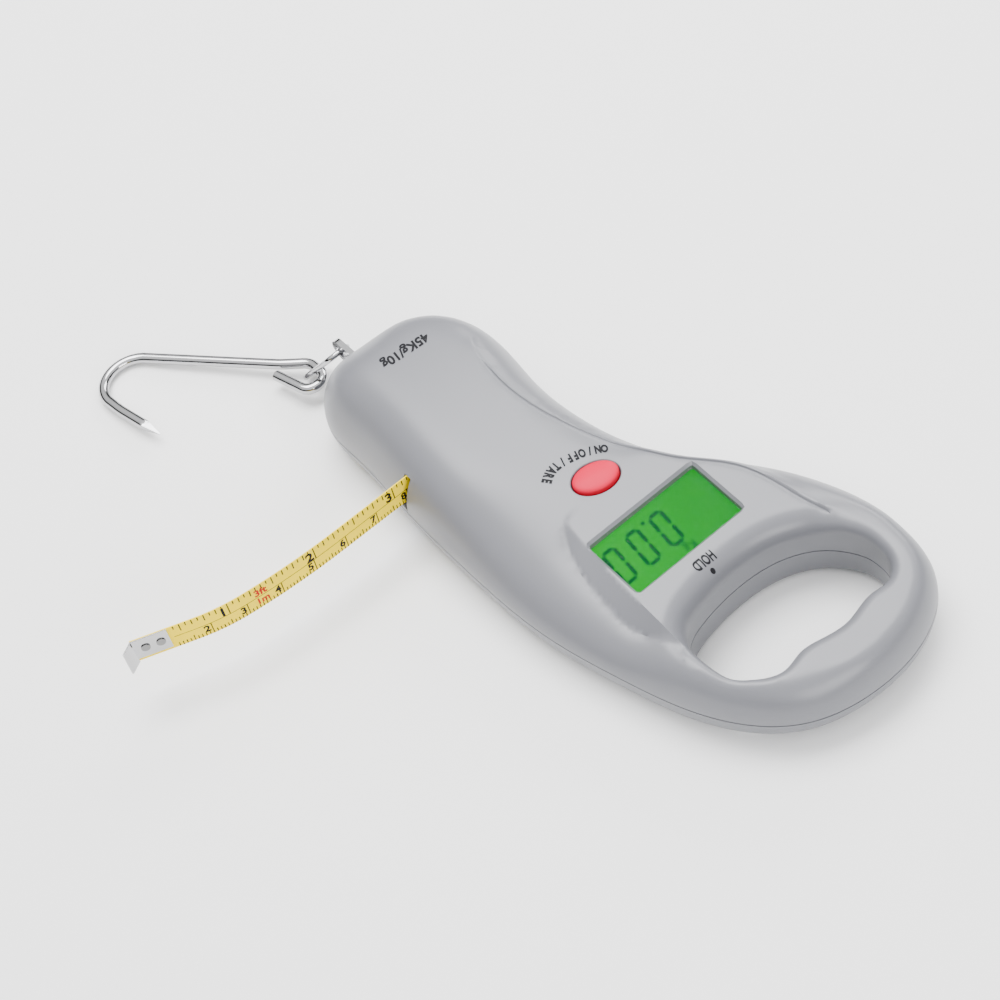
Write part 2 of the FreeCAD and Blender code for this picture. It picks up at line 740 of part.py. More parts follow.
def make_lug(pin, inner_end):
    """Steel plate on edge with a round end and a hole for the link."""
    half = size("lugThick") / 2.0
    x = size("pullX") - half
    reach = size("lugRound")
    z = size("lugLevel")
    arm = span_box((x, size("lugY"), z - reach), (x + 2 * half, inner_end, z + reach))
    across = Vector(1, 0, 0)
    centre = Vector(x, size("lugY"), z)
    arm = arm.fuse(Part.makeCylinder(reach, 2 * half, centre, across))
    arm = arm.cut(Part.makeCylinder(size("lugHole"), 4.0, centre - across, across))
    add_shape("hook_lug", arm.cut(pin))


# The hook's eye passes through the link at this point.
EYE = Vector(11.3, -72.2, 4.5)
# Hook wire in plan, from the free end of the eye to the point, and the radius of each corner.
HOOK_PLAN = [
    (20.3, -79.8), (17.6, -67.0), (11.2, -67.6), (11.2, -75.5), (17.0, -81.8), (41.6, -115.6),
    (57.4, -117.6), (54.3, -87.6),
]
HOOK_RADII = [3.2, 3.1, 4.0, 24.0, 6.0, 6.5]
POINT_LONG = 10.0


def link_frame():
    """Directions of the link: along it, and across it."""
    lug = Vector(size("pullX"), size("lugY"), size("lugLevel"))
    along = (EYE - lug).normalize()
    sideways = Vector(0, along.z, -along.y)
    across = sideways.cross(along).normalize()
    if across.x < 0:
        across = across * -1.0
    return lug, along, across


def make_link():
    """Long wire ring through the lug's hole and the hook's eye."""
    lug, along, across = link_frame()
    radius = size("linkArc")
    first = lug + along * radius
    near_a = first + across * radius
    near_b = first - across * radius
    far_a = EYE + across * radius
    far_b = EYE - across * radius
    half = [
        Part.makeLine((near_a + far_a) / 2.0, far_a),
        Part.Arc(far_a, EYE + along * radius, far_b).toShape(),
        Part.makeLine(far_b, (near_b + far_b) / 2.0),
    ]
    rest = [
        Part.makeLine((near_b + far_b) / 2.0, near_b),
        Part.Arc(near_b, lug, near_a).toShape(),
        Part.makeLine(near_a, (near_a + far_a) / 2.0),
    ]
    wire = size("linkWire")
    add_shape("link_ring", swept(Part.Wire(half), wire).fuse(swept(Part.Wire(rest), wire)))


def hook_level(y):
    """Height of the hook wire's centre line: it leans down from the eye to the table."""
    low = size("hookWire") / 2.0
    bend_y = HOOK_PLAN[-2][1]
    return low + (y - bend_y) * (EYE.z - low) / (EYE.y - bend_y)


def make_hook():
    """Bent wire hook with an eye at one end and a ground point at the other."""
    corners = [Vector(x, y, hook_level(y)) for x, y in HOOK_PLAN]
    tip = corners[-1]
    along = (tip - corners[-2]).normalize()
    corners[-1] = tip - along * POINT_LONG
    wire = size("hookWire")
    shape = swept(rounded_path(corners, HOOK_RADII), wire)
    point = Part.makeCone(wire / 2.0, 0.25, POINT_LONG, corners[-1], along)
    add_shape("hook", shape.fuse(point))


# ---------------------------------------------------------------- tape and reel

TAPE_STRAIGHT = 46.0
TAPE_BENDS = [(200.0, 8.0), (55.0, 14.0)]
TAPE_LAST = 16.4
LIP_LONG = 3.7
LIP_TURN = 31.0
TONGUE_LONG = 9.5
RIVETS_BACK = [3.2, 7.2]


def tape_path():
    """Centre line of the blade from inside the reel to its end bend, and the end's direction."""
    y = size("tapeLine")
    here = Vector(TAPE_STRAIGHT, y, 0)
    edges = [Part.makeLine(Vector(0, y, 0), here)]
    heading = 0.0
    for radius, turn in TAPE_BENDS:
        points = [here]
        for share in (0.5, 1.0):
            angle = math.radians(heading + turn * share)
            start = math.radians(heading)
            step = Vector(math.sin(angle) - math.sin(start), math.cos(angle) - math.cos(start), 0)
            points.append(points[0] + step * radius)
        edges.append(Part.Arc(points[0], points[1], points[2]).toShape())
        here = points[2]
        heading += turn
    along = Vector(math.cos(math.radians(heading)), -math.sin(math.radians(heading)), 0)
    end = here + along * TAPE_LAST
    edges.append(Part.makeLine(here, end))
    return Part.Wire(edges), end, along


def ribbon(path, thick, low, tall):
    """Strip standing on edge along a path."""
    half = thick / 2.0
    corners = [Vector(0, -half, low), Vector(0, half, low), Vector(0, half, low + tall),
               Vector(0, -half, low + tall)]
    section = Part.makePolygon(corners + corners[:1])
    section.translate(path.OrderedVertexes[0].Point)
    return path.makePipeShell([section], True, False)


def make_tape():
    """Blade, riveted end clip with its lip, and the rivets."""
    path, end, along = tape_path()
    low = size("tapeBase")
    tall = size("tapeWide")
    thick = size("tapeThick")
    add_shape("tape_blade", ribbon(path, thick, low, tall))
    face_side = Vector(-along.y, along.x, 0)
    clip_thick = 0.4
    offset = face_side * (thick / 2.0 + clip_thick / 2.0)
    lip_way = Vector(math.cos(math.radians(LIP_TURN)), math.sin(math.radians(LIP_TURN)), 0)
    start = end - along * TONGUE_LONG + offset
    middle = end + offset
    lip_end = middle + lip_way * LIP_LONG
    tongue = plank(start, middle, clip_thick, low + 1.2, tall - 1.2)
    lip = plank(middle - along * 0.2, lip_end, clip_thick, low, tall)
    add_shape("tape_clip", tongue.fuse(lip))
    make_rivets(end, along, face_side, thick, clip_thick)


def plank(first, last, thick, low, tall):
    """Upright flat strip between two points in plan."""
    along = (last - first).normalize()
    side = Vector(-along.y, along.x, 0) * (thick / 2.0)
    up = Vector(0, 0, low)
    corners = [first - side + up, last - side + up, last + side + up, first + side + up]
    outline = Part.makePolygon(corners + corners[:1])
    return Part.Face(outline).extrude(Vector(0, 0, tall))


def make_rivets(end, along, face_side, thick, clip_thick):
    """Two hollow rivets through the clip and the blade."""
    rivet_radius = 1.2
    head_tall = 0.3
    level = Vector(0, 0, size("tapeBase") + size("tapeWide") / 2.0 + 0.6)
    holes = []
    heads = []
    for back in RIVETS_BACK:
        centre = end - along * back + level
        far = centre - face_side * (thick / 2.0)
        near = centre + face_side * (thick / 2.0 + clip_thick)
        holes.append(Part.makeCylinder(0.7, thick + clip_thick, far, face_side))
        front = Part.makeCylinder(rivet_radius, head_tall, near, face_side)
        rear = Part.makeCylinder(rivet_radius, head_tall, far, face_side * -1.0)
        heads.append(holes[-1].fuse(front).fuse(rear))
    for item in NODES:
        if item.Label in ("tape_blade", "tape_clip"):
            item.Shape = item.Shape.cut(Part.makeCompound(holes))
    add_shape("clip_rivets", Part.makeCompound(heads))


def spiral_strip(inner, outer, turns, thick, low, tall):
    """Flat strip wound in a spiral about the origin."""
    steps = 12 * turns
    sides = []
    for shift in (0.0, thick):
        points = []
        for step in range(steps + 1):
            angle = 2.0 * math.pi * step / 12.0
            radius = inner + (outer - inner) * step / steps + shift
            points.append(Vector(radius * math.cos(angle), radius * math.sin(angle), low))
        curve = Part.BSplineCurve()
        curve.interpolate(points)
        sides.append((curve.toShape(), points[0], points[-1]))
    (first, a_start, a_end), (second, b_start, b_end) = sides
    outline = Part.Wire([first, Part.makeLine(a_end, b_end), second, Part.makeLine(b_start, a_start)])
    return Part.Face(outline).extrude(Vector(0, 0, tall))


def make_reel():
    """Axle, drum with two flanges, wound tape, power spring and the cover above."""
    axle_tall = size("reelCoverBase") + size("reelCoverThick") - 3.0
    bore = "#axleRadius + #axleFit"
    axis = ("0", "0", "#reelBase")
    rings = [
        ("#reelRadius", bore, "0", "#flangePlate"),
        ("#hubOuter", "#hubInner", "#flangePlate", "#reelTall - #flangePlate"),
        ("#reelRadius", "#hubInner", "#reelTall - #coverPlate", "#coverPlate"),
    ]
    turned("reel_drum", rings, axis)
    turned("tape_coil", [("#coilRadius", "#hubOuter + 0.02", "0", "#tapeWide")], ("0", "0", "#tapeBase"))
    turned("reel_axle", [("#axleRadius", None, "0", str(axle_tall))], ("0", "0", "3"))
    make_reel_cover(bore)
    inner = size("axleRadius") + 0.4
    outer = size("hubInner") - 0.6
    spring_thick = 0.25
    gap = 0.1
    low = size("tapeBase") + gap
    tall = size("tapeWide") - 2.0 * gap
    add_shape("reel_spring", spiral_strip(inner, outer, 5, spring_thick, low, tall))


def make_reel_cover(bore):
    """Round cover over the reel with three ears on its posts, a bearing hole and screw holes."""
    discs = [rod("cover_disc", "#reelCoverRadius", "#reelCoverThick", "0", "0", "#reelCoverBase")]
    holes = [rod("cover_bore", bore, "4", "0", "0", "#reelCoverBase - 1")]
    for number, turn in enumerate(REEL_POSTS):
        x = "#postCircle * cos(%g)" % turn
        y = "#postCircle * sin(%g)" % turn
        discs.append(rod("cover_ear%d" % number, "#coverEar", "#reelCoverThick", x, y, "#reelCoverBase"))
        holes.append(rod("cover_hole%d" % number, "1", "4", x, y, "#reelCoverBase - 1"))
    keep(less("reel_cover", joined("cover_plate", discs), joined("cover_holes", holes)), "reel_cover")


# ---------------------------------------------------------------- build, check and write


def check_and_export():
    """Recompute, test every object and shape, and write one file for each piece."""
    doc.recompute()
    for item in doc.Objects:
        if "Invalid" in item.State or "Error" in item.State:
            raise RuntimeError("failed object: %s" % item.Label)
    os.makedirs("parts", exist_ok=True)
    for item in NODES:
        shape = item.Shape
        if shape.isNull() or not shape.isValid():
            raise RuntimeError("bad shape: %s" % item.Label)
        shape.exportStep("parts/%s.step" % item.Label)
        box = shape.BoundBox
        print("%-18s %9.1f mm3 %d solid(s) x %.1f..%.1f y %.1f..%.1f z %.1f..%.1f" % (
            item.Label, shape.Volume, len(shape.Solids),
            box.XMin, box.XMax, box.YMin, box.YMax, box.ZMin, box.ZMax))


make_front_shell()
make_back_shell()
make_screws()
make_display()
make_board()
make_button()
make_battery_box()
make_load_cell()
make_link()
make_hook()
make_tape()
make_reel()
check_and_export()
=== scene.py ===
import math

import bmesh
import bpy
import numpy as np
from mathutils import Matrix, Vector
from mathutils.bvhtree import BVHTree
from mathutils.geometry import delaunay_2d_cdt
from mathutils.kdtree import KDTree


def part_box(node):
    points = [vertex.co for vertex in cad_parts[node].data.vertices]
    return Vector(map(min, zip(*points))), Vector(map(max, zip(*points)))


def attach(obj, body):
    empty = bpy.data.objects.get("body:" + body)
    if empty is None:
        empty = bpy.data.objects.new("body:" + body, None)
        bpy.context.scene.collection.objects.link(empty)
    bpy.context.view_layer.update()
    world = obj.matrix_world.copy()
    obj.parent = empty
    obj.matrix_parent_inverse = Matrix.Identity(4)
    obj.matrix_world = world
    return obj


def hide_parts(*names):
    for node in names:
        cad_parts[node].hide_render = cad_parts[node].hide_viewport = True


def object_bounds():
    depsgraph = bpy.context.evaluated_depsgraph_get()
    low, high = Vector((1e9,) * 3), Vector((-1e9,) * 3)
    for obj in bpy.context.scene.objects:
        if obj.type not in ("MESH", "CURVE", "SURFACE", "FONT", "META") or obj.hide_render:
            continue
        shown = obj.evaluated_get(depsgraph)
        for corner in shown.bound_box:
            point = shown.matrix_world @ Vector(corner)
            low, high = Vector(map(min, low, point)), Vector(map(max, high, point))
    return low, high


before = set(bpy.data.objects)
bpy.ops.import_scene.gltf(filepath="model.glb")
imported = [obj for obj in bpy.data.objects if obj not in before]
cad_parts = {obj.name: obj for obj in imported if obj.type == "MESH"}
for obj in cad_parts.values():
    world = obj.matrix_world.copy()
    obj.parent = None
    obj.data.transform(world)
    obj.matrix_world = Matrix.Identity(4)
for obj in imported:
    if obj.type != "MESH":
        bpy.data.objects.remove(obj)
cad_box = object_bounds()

# Digital fish scale. Shapes are worked out in millimetres, in the frame's own directions:
# +Z is out of the front face, +Y points to the handle and the hook end is at -Y.
MM = 0.001
SEAM = 9.6
SEAM_GAP = 0.2
SHELL_WALL = 1.8
# Edges that turn by more than this, in degrees, stay sharp.
SHARP_ANGLE = 38.0

# Smooth closed outlines of the housing and of the hand hole.
OUTLINE = [
    (3, -59), (16.2, -57.8), (22.8, -49.8), (24.2, -36.6), (25.8, -13.6), (26.8, 13.4), (25.8, 42.4),
    (20.9, 66.6), (12.7, 90.6), (-1, 106.4), (-19, 111.7), (-38.2, 108.9), (-50, 99.8), (-53.6, 85.4),
    (-52.3, 68.2), (-42, 45.6), (-28.8, 26.2), (-22.6, 6.4), (-21.8, -13.6), (-23.4, -35.6),
    (-16.9, -50),
]
HAND_HOLE = [
    (6.4, 75.4), (7, 83.9), (5.6, 89.4), (2.6, 92.8), (-1, 95.4), (-4.5, 96.4), (-10.2, 95.4), (-17, 96.4),
    (-24, 97.2), (-33, 95.6), (-38.6, 95.8), (-42.6, 92.3), (-43.6, 87.8), (-43.4, 83.7), (-42, 80),
    (-38, 74.3), (-29.1, 68.8), (-15, 66.9), (-3.6, 68.3), (3, 70.9),
]
# Height of the front's middle line along Y.
FRONT_RISE = [
    (-63.6, 26), (-46.6, 27.6), (-26.6, 28.2), (-1.6, 27.2), (23.4, 25), (48.4, 22.6), (73.4, 21.2),
    (93.4, 20), (114.4, 19),
]
BACK_FLAT_END = 64.0
BACK_SWEEP = 480.0
BACK_ROUND = 5.5
BACK_RIM = 3.0
# Creased edge on the far side, from the head to the hand hole.
WELT = [
    (-15.1, -29.8), (-13.2, -26.2), (-11.8, -20), (-11, -11.3), (-11.8, -2.7), (-13.6, 5.9), (-15.2, 11),
    (-19.1, 21.3), (-27.4, 36.8), (-35, 47), (-38.3, 56.3), (-40.3, 67.6), (-41.6, 72.4),
]
# Near edge of the display panel, and where its facet meets the body.
RIDGE = [(-1.0, 27.6), (2.2, 28.6), (4.4, 30.6), (5.6, 35), (6.6, 45), (7.6, 60), (8.1, 75), (8.2, 80)]
FACET_END = [
    (0.5, 26.8), (4.6, 28.2), (7.2, 31.4), (10.5, 38.5), (12.7, 52.6), (11.8, 65.5), (8.6, 74.1), (8.4, 80),
]

# Screws in the back, their counterbores' radii and how deep those go.
CASE_SCREWS = [(-14, -40), (16.6, -40), (19, 25), (-33, 50), (-25, 104)]
CELL_SCREWS = [(3.2, -23.4), (8.8, -23.4)]
CASE_BORE, CASE_BORE_DEEP = 3.0, 3.9
CELL_BORE, CELL_BORE_DEEP = 2.6, 2.6


# ---------------------------------------------------------------- curves and distances


def smooth(value, low, high):
    """0 below low, 1 above high and a smooth step between."""
    share = np.clip((value - low) / (high - low), 0.0, 1.0)
    return share * share * (3.0 - 2.0 * share)


def spline(points, spacing, closed=True):
    """Points about that far apart on the smooth cubic curve through the given points."""
    knots = np.array(points, float)
    if closed:
        knots = np.vstack([knots, knots[:1]])
    steps = np.linalg.norm(np.diff(knots, axis=0), axis=1)
    slopes = np.diff(knots, axis=0) / steps[:, None]
    count = len(steps)
    system = np.eye(count + 1)
    right = np.zeros((count + 1, 2))
    for i in range(1, count):
        system[i, i - 1:i + 2] = steps[i - 1], 2.0 * (steps[i - 1] + steps[i]), steps[i]
        right[i] = 6.0 * (slopes[i] - slopes[i - 1])
    if closed:
        system[0, count] = -1.0
        system[count, :] = 0.0
        system[count, 0] = 2.0 * (steps[-1] + steps[0])
        system[count, 1] = steps[0]
        system[count, count - 1] = steps[-1]
        right[count] = 6.0 * (slopes[0] - slopes[-1])
    bends = np.linalg.solve(system, right)
    dense = []
    for i, step in enumerate(steps):
        after = np.linspace(0.0, step, 60, endpoint=False)[:, None]
        before = step - after
        cubic = (bends[i] * before ** 3 + bends[i + 1] * after ** 3) / (6.0 * step)
        line = (knots[i] / step - bends[i] * step / 6.0) * before
        line = line + (knots[i + 1] / step - bends[i + 1] * step / 6.0) * after
        dense.append(cubic + line)
    dense.append(knots[-1:])
    return evenly(np.vstack(dense), spacing, closed)


def evenly(line, spacing, closed):
    """The line's points again, an even distance apart. A closed line doesn't repeat its first point."""
    run = np.concatenate([[0.0], np.cumsum(np.linalg.norm(np.diff(line, axis=0), axis=1))])
    count = max(int(round(run[-1] / spacing)), 2)
    at = np.linspace(0.0, run[-1], count + 1)
    if closed:
        at = at[:-1]
    return np.column_stack([np.interp(at, run, line[:, 0]), np.interp(at, run, line[:, 1])])


def offset(loop, inward):
    """Closed loop moved along its normals, towards its inside for a positive distance."""
    ahead = np.roll(loop, -1, axis=0) - np.roll(loop, 1, axis=0)
    ahead /= np.linalg.norm(ahead, axis=1)[:, None]
    following = np.roll(loop, -1, axis=0)
    turning = np.sum(loop[:, 0] * following[:, 1] - following[:, 0] * loop[:, 1])
    normal = np.column_stack([-ahead[:, 1], ahead[:, 0]]) * np.sign(turning)
    return loop + normal * inward


def distance(points, line, closed=True):
    """Distance of each point from the line."""
    starts = line
    ends = np.roll(line, -1, axis=0)
    if not closed:
        starts, ends = starts[:-1], ends[:-1]
    run = ends - starts
    square = np.sum(run * run, axis=1)
    found = []
    for part in np.array_split(points, max(1, len(points) // 800)):
        gap = part[:, None, :] - starts[None, :, :]
        share = np.clip(np.sum(gap * run[None], axis=2) / square[None], 0.0, 1.0)
        near = gap - share[..., None] * run[None]
        found.append(np.sqrt(np.min(np.sum(near * near, axis=2), axis=1)))
    return np.concatenate(found)


def inside(points, loop):
    """True for each point inside the closed loop."""
    result = np.zeros(len(points), bool)
    x, y = points[:, 0], points[:, 1]
    following = np.roll(loop, -1, axis=0)
    for (ax, ay), (bx, by) in zip(loop, following):
        crosses = (ay > y) != (by > y)
        if ay != by:
            result ^= crosses & (x < (bx - ax) * (y - ay) / (by - ay) + ax)
    return result


def rounded_box(x, y, wide, tall, radius, spacing=1.0):
    """Closed loop round a rectangle with round corners."""
    points = []
    for cx, cy, start in ((1, 1, 0), (-1, 1, 90), (-1, -1, 180), (1, -1, 270)):
        for step in range(7):
            angle = math.radians(start + 15.0 * step)
            points.append((x + cx * (wide / 2 - radius) + radius * math.cos(angle),
                           y + cy * (tall / 2 - radius) + radius * math.sin(angle)))
    points.append(points[0])
    return evenly(np.array(points), spacing, True)


def oval(x, y, long, wide, turn, spacing=0.6):
    """Closed oval loop, turned by an angle in degrees."""
    angles = np.radians(np.arange(0.0, 360.0, 3.0))
    flat = np.column_stack([np.cos(angles) * long / 2, np.sin(angles) * wide / 2])
    c, s = math.cos(math.radians(turn)), math.sin(math.radians(turn))
    loop = flat @ np.array([[c, s], [-s, c]]) + np.array([x, y])
    return evenly(np.vstack([loop, loop[:1]]), spacing, True)


def ring(x, y, radius, spacing=0.6):
    """Closed round loop."""
    return oval(x, y, radius * 2, radius * 2, 0.0, spacing)


# ---------------------------------------------------------------- heights of the housing

outline = spline(OUTLINE, 1.0)
hole = spline(HAND_HOLE, 1.0)
outline_fine = spline(OUTLINE, 0.4)
hole_fine = spline(HAND_HOLE, 0.4)
welt = spline(WELT, 0.8, False)
ridge = spline(RIDGE, 0.9, False)
facet_end = spline(FACET_END, 0.9, False)
rise = np.polynomial.Polynomial.fit([y for y, z in FRONT_RISE], [z for y, z in FRONT_RISE], 4)


def along_y(line, y):
    """X of a line that runs along Y."""
    return np.interp(y, line[:, 1], line[:, 0])


def quarter_round(share):
    """Height of a quarter circle above its foot, from 0 at its edge to 1."""
    clipped = np.clip(share, 0.0, 1.0)
    return np.sqrt(1.0 - (1.0 - clipped) ** 2)


def rim_drop(from_hole, y):
    """How far the front's rim of the hand hole rolls over."""
    radius = 6.0 - 3.0 * smooth(y, 70.0, 80.0)
    left = np.clip(1.0 - from_hole / radius, 0.0, 1.0)
    return radius * (1.0 - np.sqrt(1.0 - left ** 2))


def pillow(x, y, from_edge):
    """Front face before the panel and the hand hole: a soft pillow.
    Its rounding reaches in from the edge by one distance on the tape's side and another on the far side."""
    near = 16.5 + 13.5 * smooth(y, -4.0, 34.0) - 21.5 * smooth(y, 58.0, 84.0)
    far = 10.5 + 1.5 * smooth(y, -45.0, -20.0) - 6.5 * smooth(y, 60.0, 84.0)
    middle = -1.0 - 0.18 * np.clip(y, 0.0, 60.0)
    side = smooth(x, middle - 8.0, middle + 8.0)
    radius = near * side + far * (1.0 - side)
    foot = SEAM + SEAM_GAP
    return foot + (rise(y) - foot) * quarter_round(from_edge / radius)


def back_level(y):
    """Height of the back: flat, then an arc up towards the end of the handle."""
    past = np.clip(y - BACK_FLAT_END, 0.0, None)
    return BACK_SWEEP - np.sqrt(BACK_SWEEP ** 2 - past ** 2)


def settle(height, faces, weight, rounds):
    """Average each height with its neighbours' a few times, by that weight, to melt creases."""
    pairs = np.vstack([faces[:, [0, 1]], faces[:, [1, 2]], faces[:, [2, 0]]])
    pairs = np.unique(np.sort(pairs, axis=1), axis=0)
    degree = np.bincount(pairs.ravel(), minlength=len(height))
    for _ in range(rounds):
        total = np.bincount(pairs[:, 0], height[pairs[:, 1]], len(height))
        total += np.bincount(pairs[:, 1], height[pairs[:, 0]], len(height))
        height = height + (total / np.maximum(degree, 1) - height) * weight * 0.6
    return height


def front_height(points, faces, from_edge, from_hole):
    """Front face with its display panel, creased far edge and rolled hand hole."""
    x, y = points[:, 0], points[:, 1]
    top = rise(y)
    plain = settle(pillow(x, y, from_edge), faces, smooth(from_edge, 5.0, 10.0), 22)
    near = along_y(ridge, y)
    end = np.maximum(along_y(facet_end, y), near + 0.2)
    far = along_y(welt, y)
    end_points = np.column_stack([end, y])
    end_height = pillow(end, y, distance(end_points, outline_fine))
    down = np.clip((x - near) / (end - near), 0.0, 1.0)
    beyond = np.clip(far - x, 0.0, None)
    panel = top * (1.0 - down) + end_height * down
    crease = 0.8 * smooth(y, 29.0, 36.0) * (1.0 - smooth(y, 64.0, 73.0))
    valley = crease * np.exp(-np.clip(x - end, 0.0, None) / 2.2)
    panel = np.where(x > end, plain - valley, panel - crease * down)
    panel = panel * (1.0 - smooth(beyond, 0.0, 3.4)) + plain * smooth(beyond, 0.0, 3.4)
    reach = 3.0 + 9.0 * smooth(-x, -1.0, 8.0)
    begins = smooth(y, 30.5 - reach, 31.0) * (1.0 - smooth(y, 74.0, 79.0))
    height = plain + (panel - plain) * begins
    side = np.where(x < far, 1.0, -1.0) * distance(points, welt, False)
    fade = smooth(y, WELT[0][1], WELT[0][1] + 14.0) * (y > WELT[0][1])
    lip = 0.42 * smooth(side, 0.0, 0.5) * np.exp(-np.clip(side, 0.0, None) / 1.8)
    groove = 0.32 * np.exp(-(side / 0.3) ** 2)
    height = height + (lip - groove) * fade
    return height - rim_drop(from_hole, y)


def back_height(points, faces, from_edge, from_hole):
    """Back face, rounded up to the seam and at the hand hole."""
    level = back_level(points[:, 1])
    seam = SEAM - SEAM_GAP
    height = seam - (seam - level) * quarter_round(from_edge / BACK_ROUND)
    left = np.clip(1.0 - from_hole / BACK_RIM, 0.0, 1.0)
    return height + BACK_RIM * (1.0 - np.sqrt(1.0 - left ** 2))


# ---------------------------------------------------------------- meshes


class Layout:
    """Plan of one face: its points and the lines that triangles keep to."""

    def __init__(self):
        self.points = []
        self.edges = []

    def line(self, points, closed=True):
        """Add a line that no triangle crosses and return the numbers of its points."""
        first = len(self.points)
        self.points += [tuple(point) for point in points]
        numbers = list(range(first, len(self.points)))
        self.edges += list(zip(numbers[:-1], numbers[1:]))
        if closed:
            self.edges.append((numbers[-1], numbers[0]))
        return numbers

    def fill(self, spacing):
        """Add an even grid inside the outline, clear of every line."""
        tree = KDTree(len(self.points))
        for number, (x, y) in enumerate(self.points):
            tree.insert((x, y, 0.0), number)
        tree.balance()
        low, high = outline.min(axis=0), outline.max(axis=0)
        rows = np.arange(low[1], high[1], spacing * 0.87)
        grid = [(x + (row % 2) * spacing / 2, y) for row, y in enumerate(rows)
                for x in np.arange(low[0], high[0], spacing)]
        grid = np.array(grid)
        keep = inside(grid, outline) & ~inside(grid, hole)
        for x, y in grid[keep]:
            if tree.find((x, y, 0.0))[2] > spacing * 0.6:
                self.points.append((x, y))


def clear_runs(line, margin_edge, margin_hole, openings=()):
    """Longest run of the line that keeps clear of the outline, the hand hole and the openings."""
    good = inside(line, outline) & ~inside(line, hole)
    good &= distance(line, outline_fine) > margin_edge
    good &= distance(line, hole_fine) > margin_hole
    for loop in openings:
        good &= distance(line, loop) > 0.8
        good &= ~inside(line, loop)
    best = []
    run = []
    for point, fine in zip(line, good):
        run = run + [point] if fine else []
        if len(run) > len(best):
            best = run
    return np.array(best)


def new_object(name, verts, faces, material, smooth_angle=SHARP_ANGLE):
    """Mesh object from millimetre points, shaded smooth with its sharp edges kept."""
    mesh = bpy.data.meshes.new(name)
    mesh.from_pydata([tuple(float(c) * MM for c in v) for v in verts], [], [tuple(f) for f in faces])
    mesh.materials.append(material)
    mesh.polygons.foreach_set("use_smooth", [True] * len(mesh.polygons))
    mesh.set_sharp_from_angle(angle=math.radians(smooth_angle))
    item = bpy.data.objects.new(name, mesh)
    bpy.context.collection.objects.link(item)
    return item


def belong(item, body, slot, *nodes):
    """Put a piece on the body it rides on and hide the CAD nodes that it stands for. The slot is not used."""
    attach(item, body)
    if nodes:
        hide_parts(*nodes)


def box_cutter(low, high):
    """Hidden box for a boolean."""
    mesh = bpy.data.meshes.new("cutter")
    shape = bmesh.new()
    bmesh.ops.create_cube(shape, size=1.0)
    middle = [(a + b) / 2 * MM for a, b in zip(low, high)]
    spans = [(b - a) * MM for a, b in zip(low, high)]
    place = Matrix.Translation(middle) @ Matrix.Diagonal((*spans, 1.0))
    bmesh.ops.transform(shape, matrix=place, verts=shape.verts)
    shape.to_mesh(mesh)
    shape.free()
    item = bpy.data.objects.new("cutter", mesh)
    bpy.context.collection.objects.link(item)
    return item


def finish_shell(item, cutters):
    """Give the shell its wall, cut its slots and keep the result as a plain mesh."""
    wall = item.modifiers.new("wall", "SOLIDIFY")
    wall.thickness = SHELL_WALL * MM
    wall.offset = -1.0
    tools = [box_cutter(low, high) for low, high in cutters]
    for tool in tools:
        cut = item.modifiers.new("slot", "BOOLEAN")
        cut.operation = "DIFFERENCE"
        cut.solver = "EXACT"
        cut.object = tool
    depsgraph = bpy.context.evaluated_depsgraph_get()
    mesh = bpy.data.meshes.new_from_object(item.evaluated_get(depsgraph))
    item.modifiers.clear()
    item.data = mesh
    mesh.polygons.foreach_set("use_smooth", [True] * len(mesh.polygons))
    mesh.set_sharp_from_angle(angle=math.radians(SHARP_ANGLE))
    for tool in tools:
        bpy.data.objects.remove(tool)


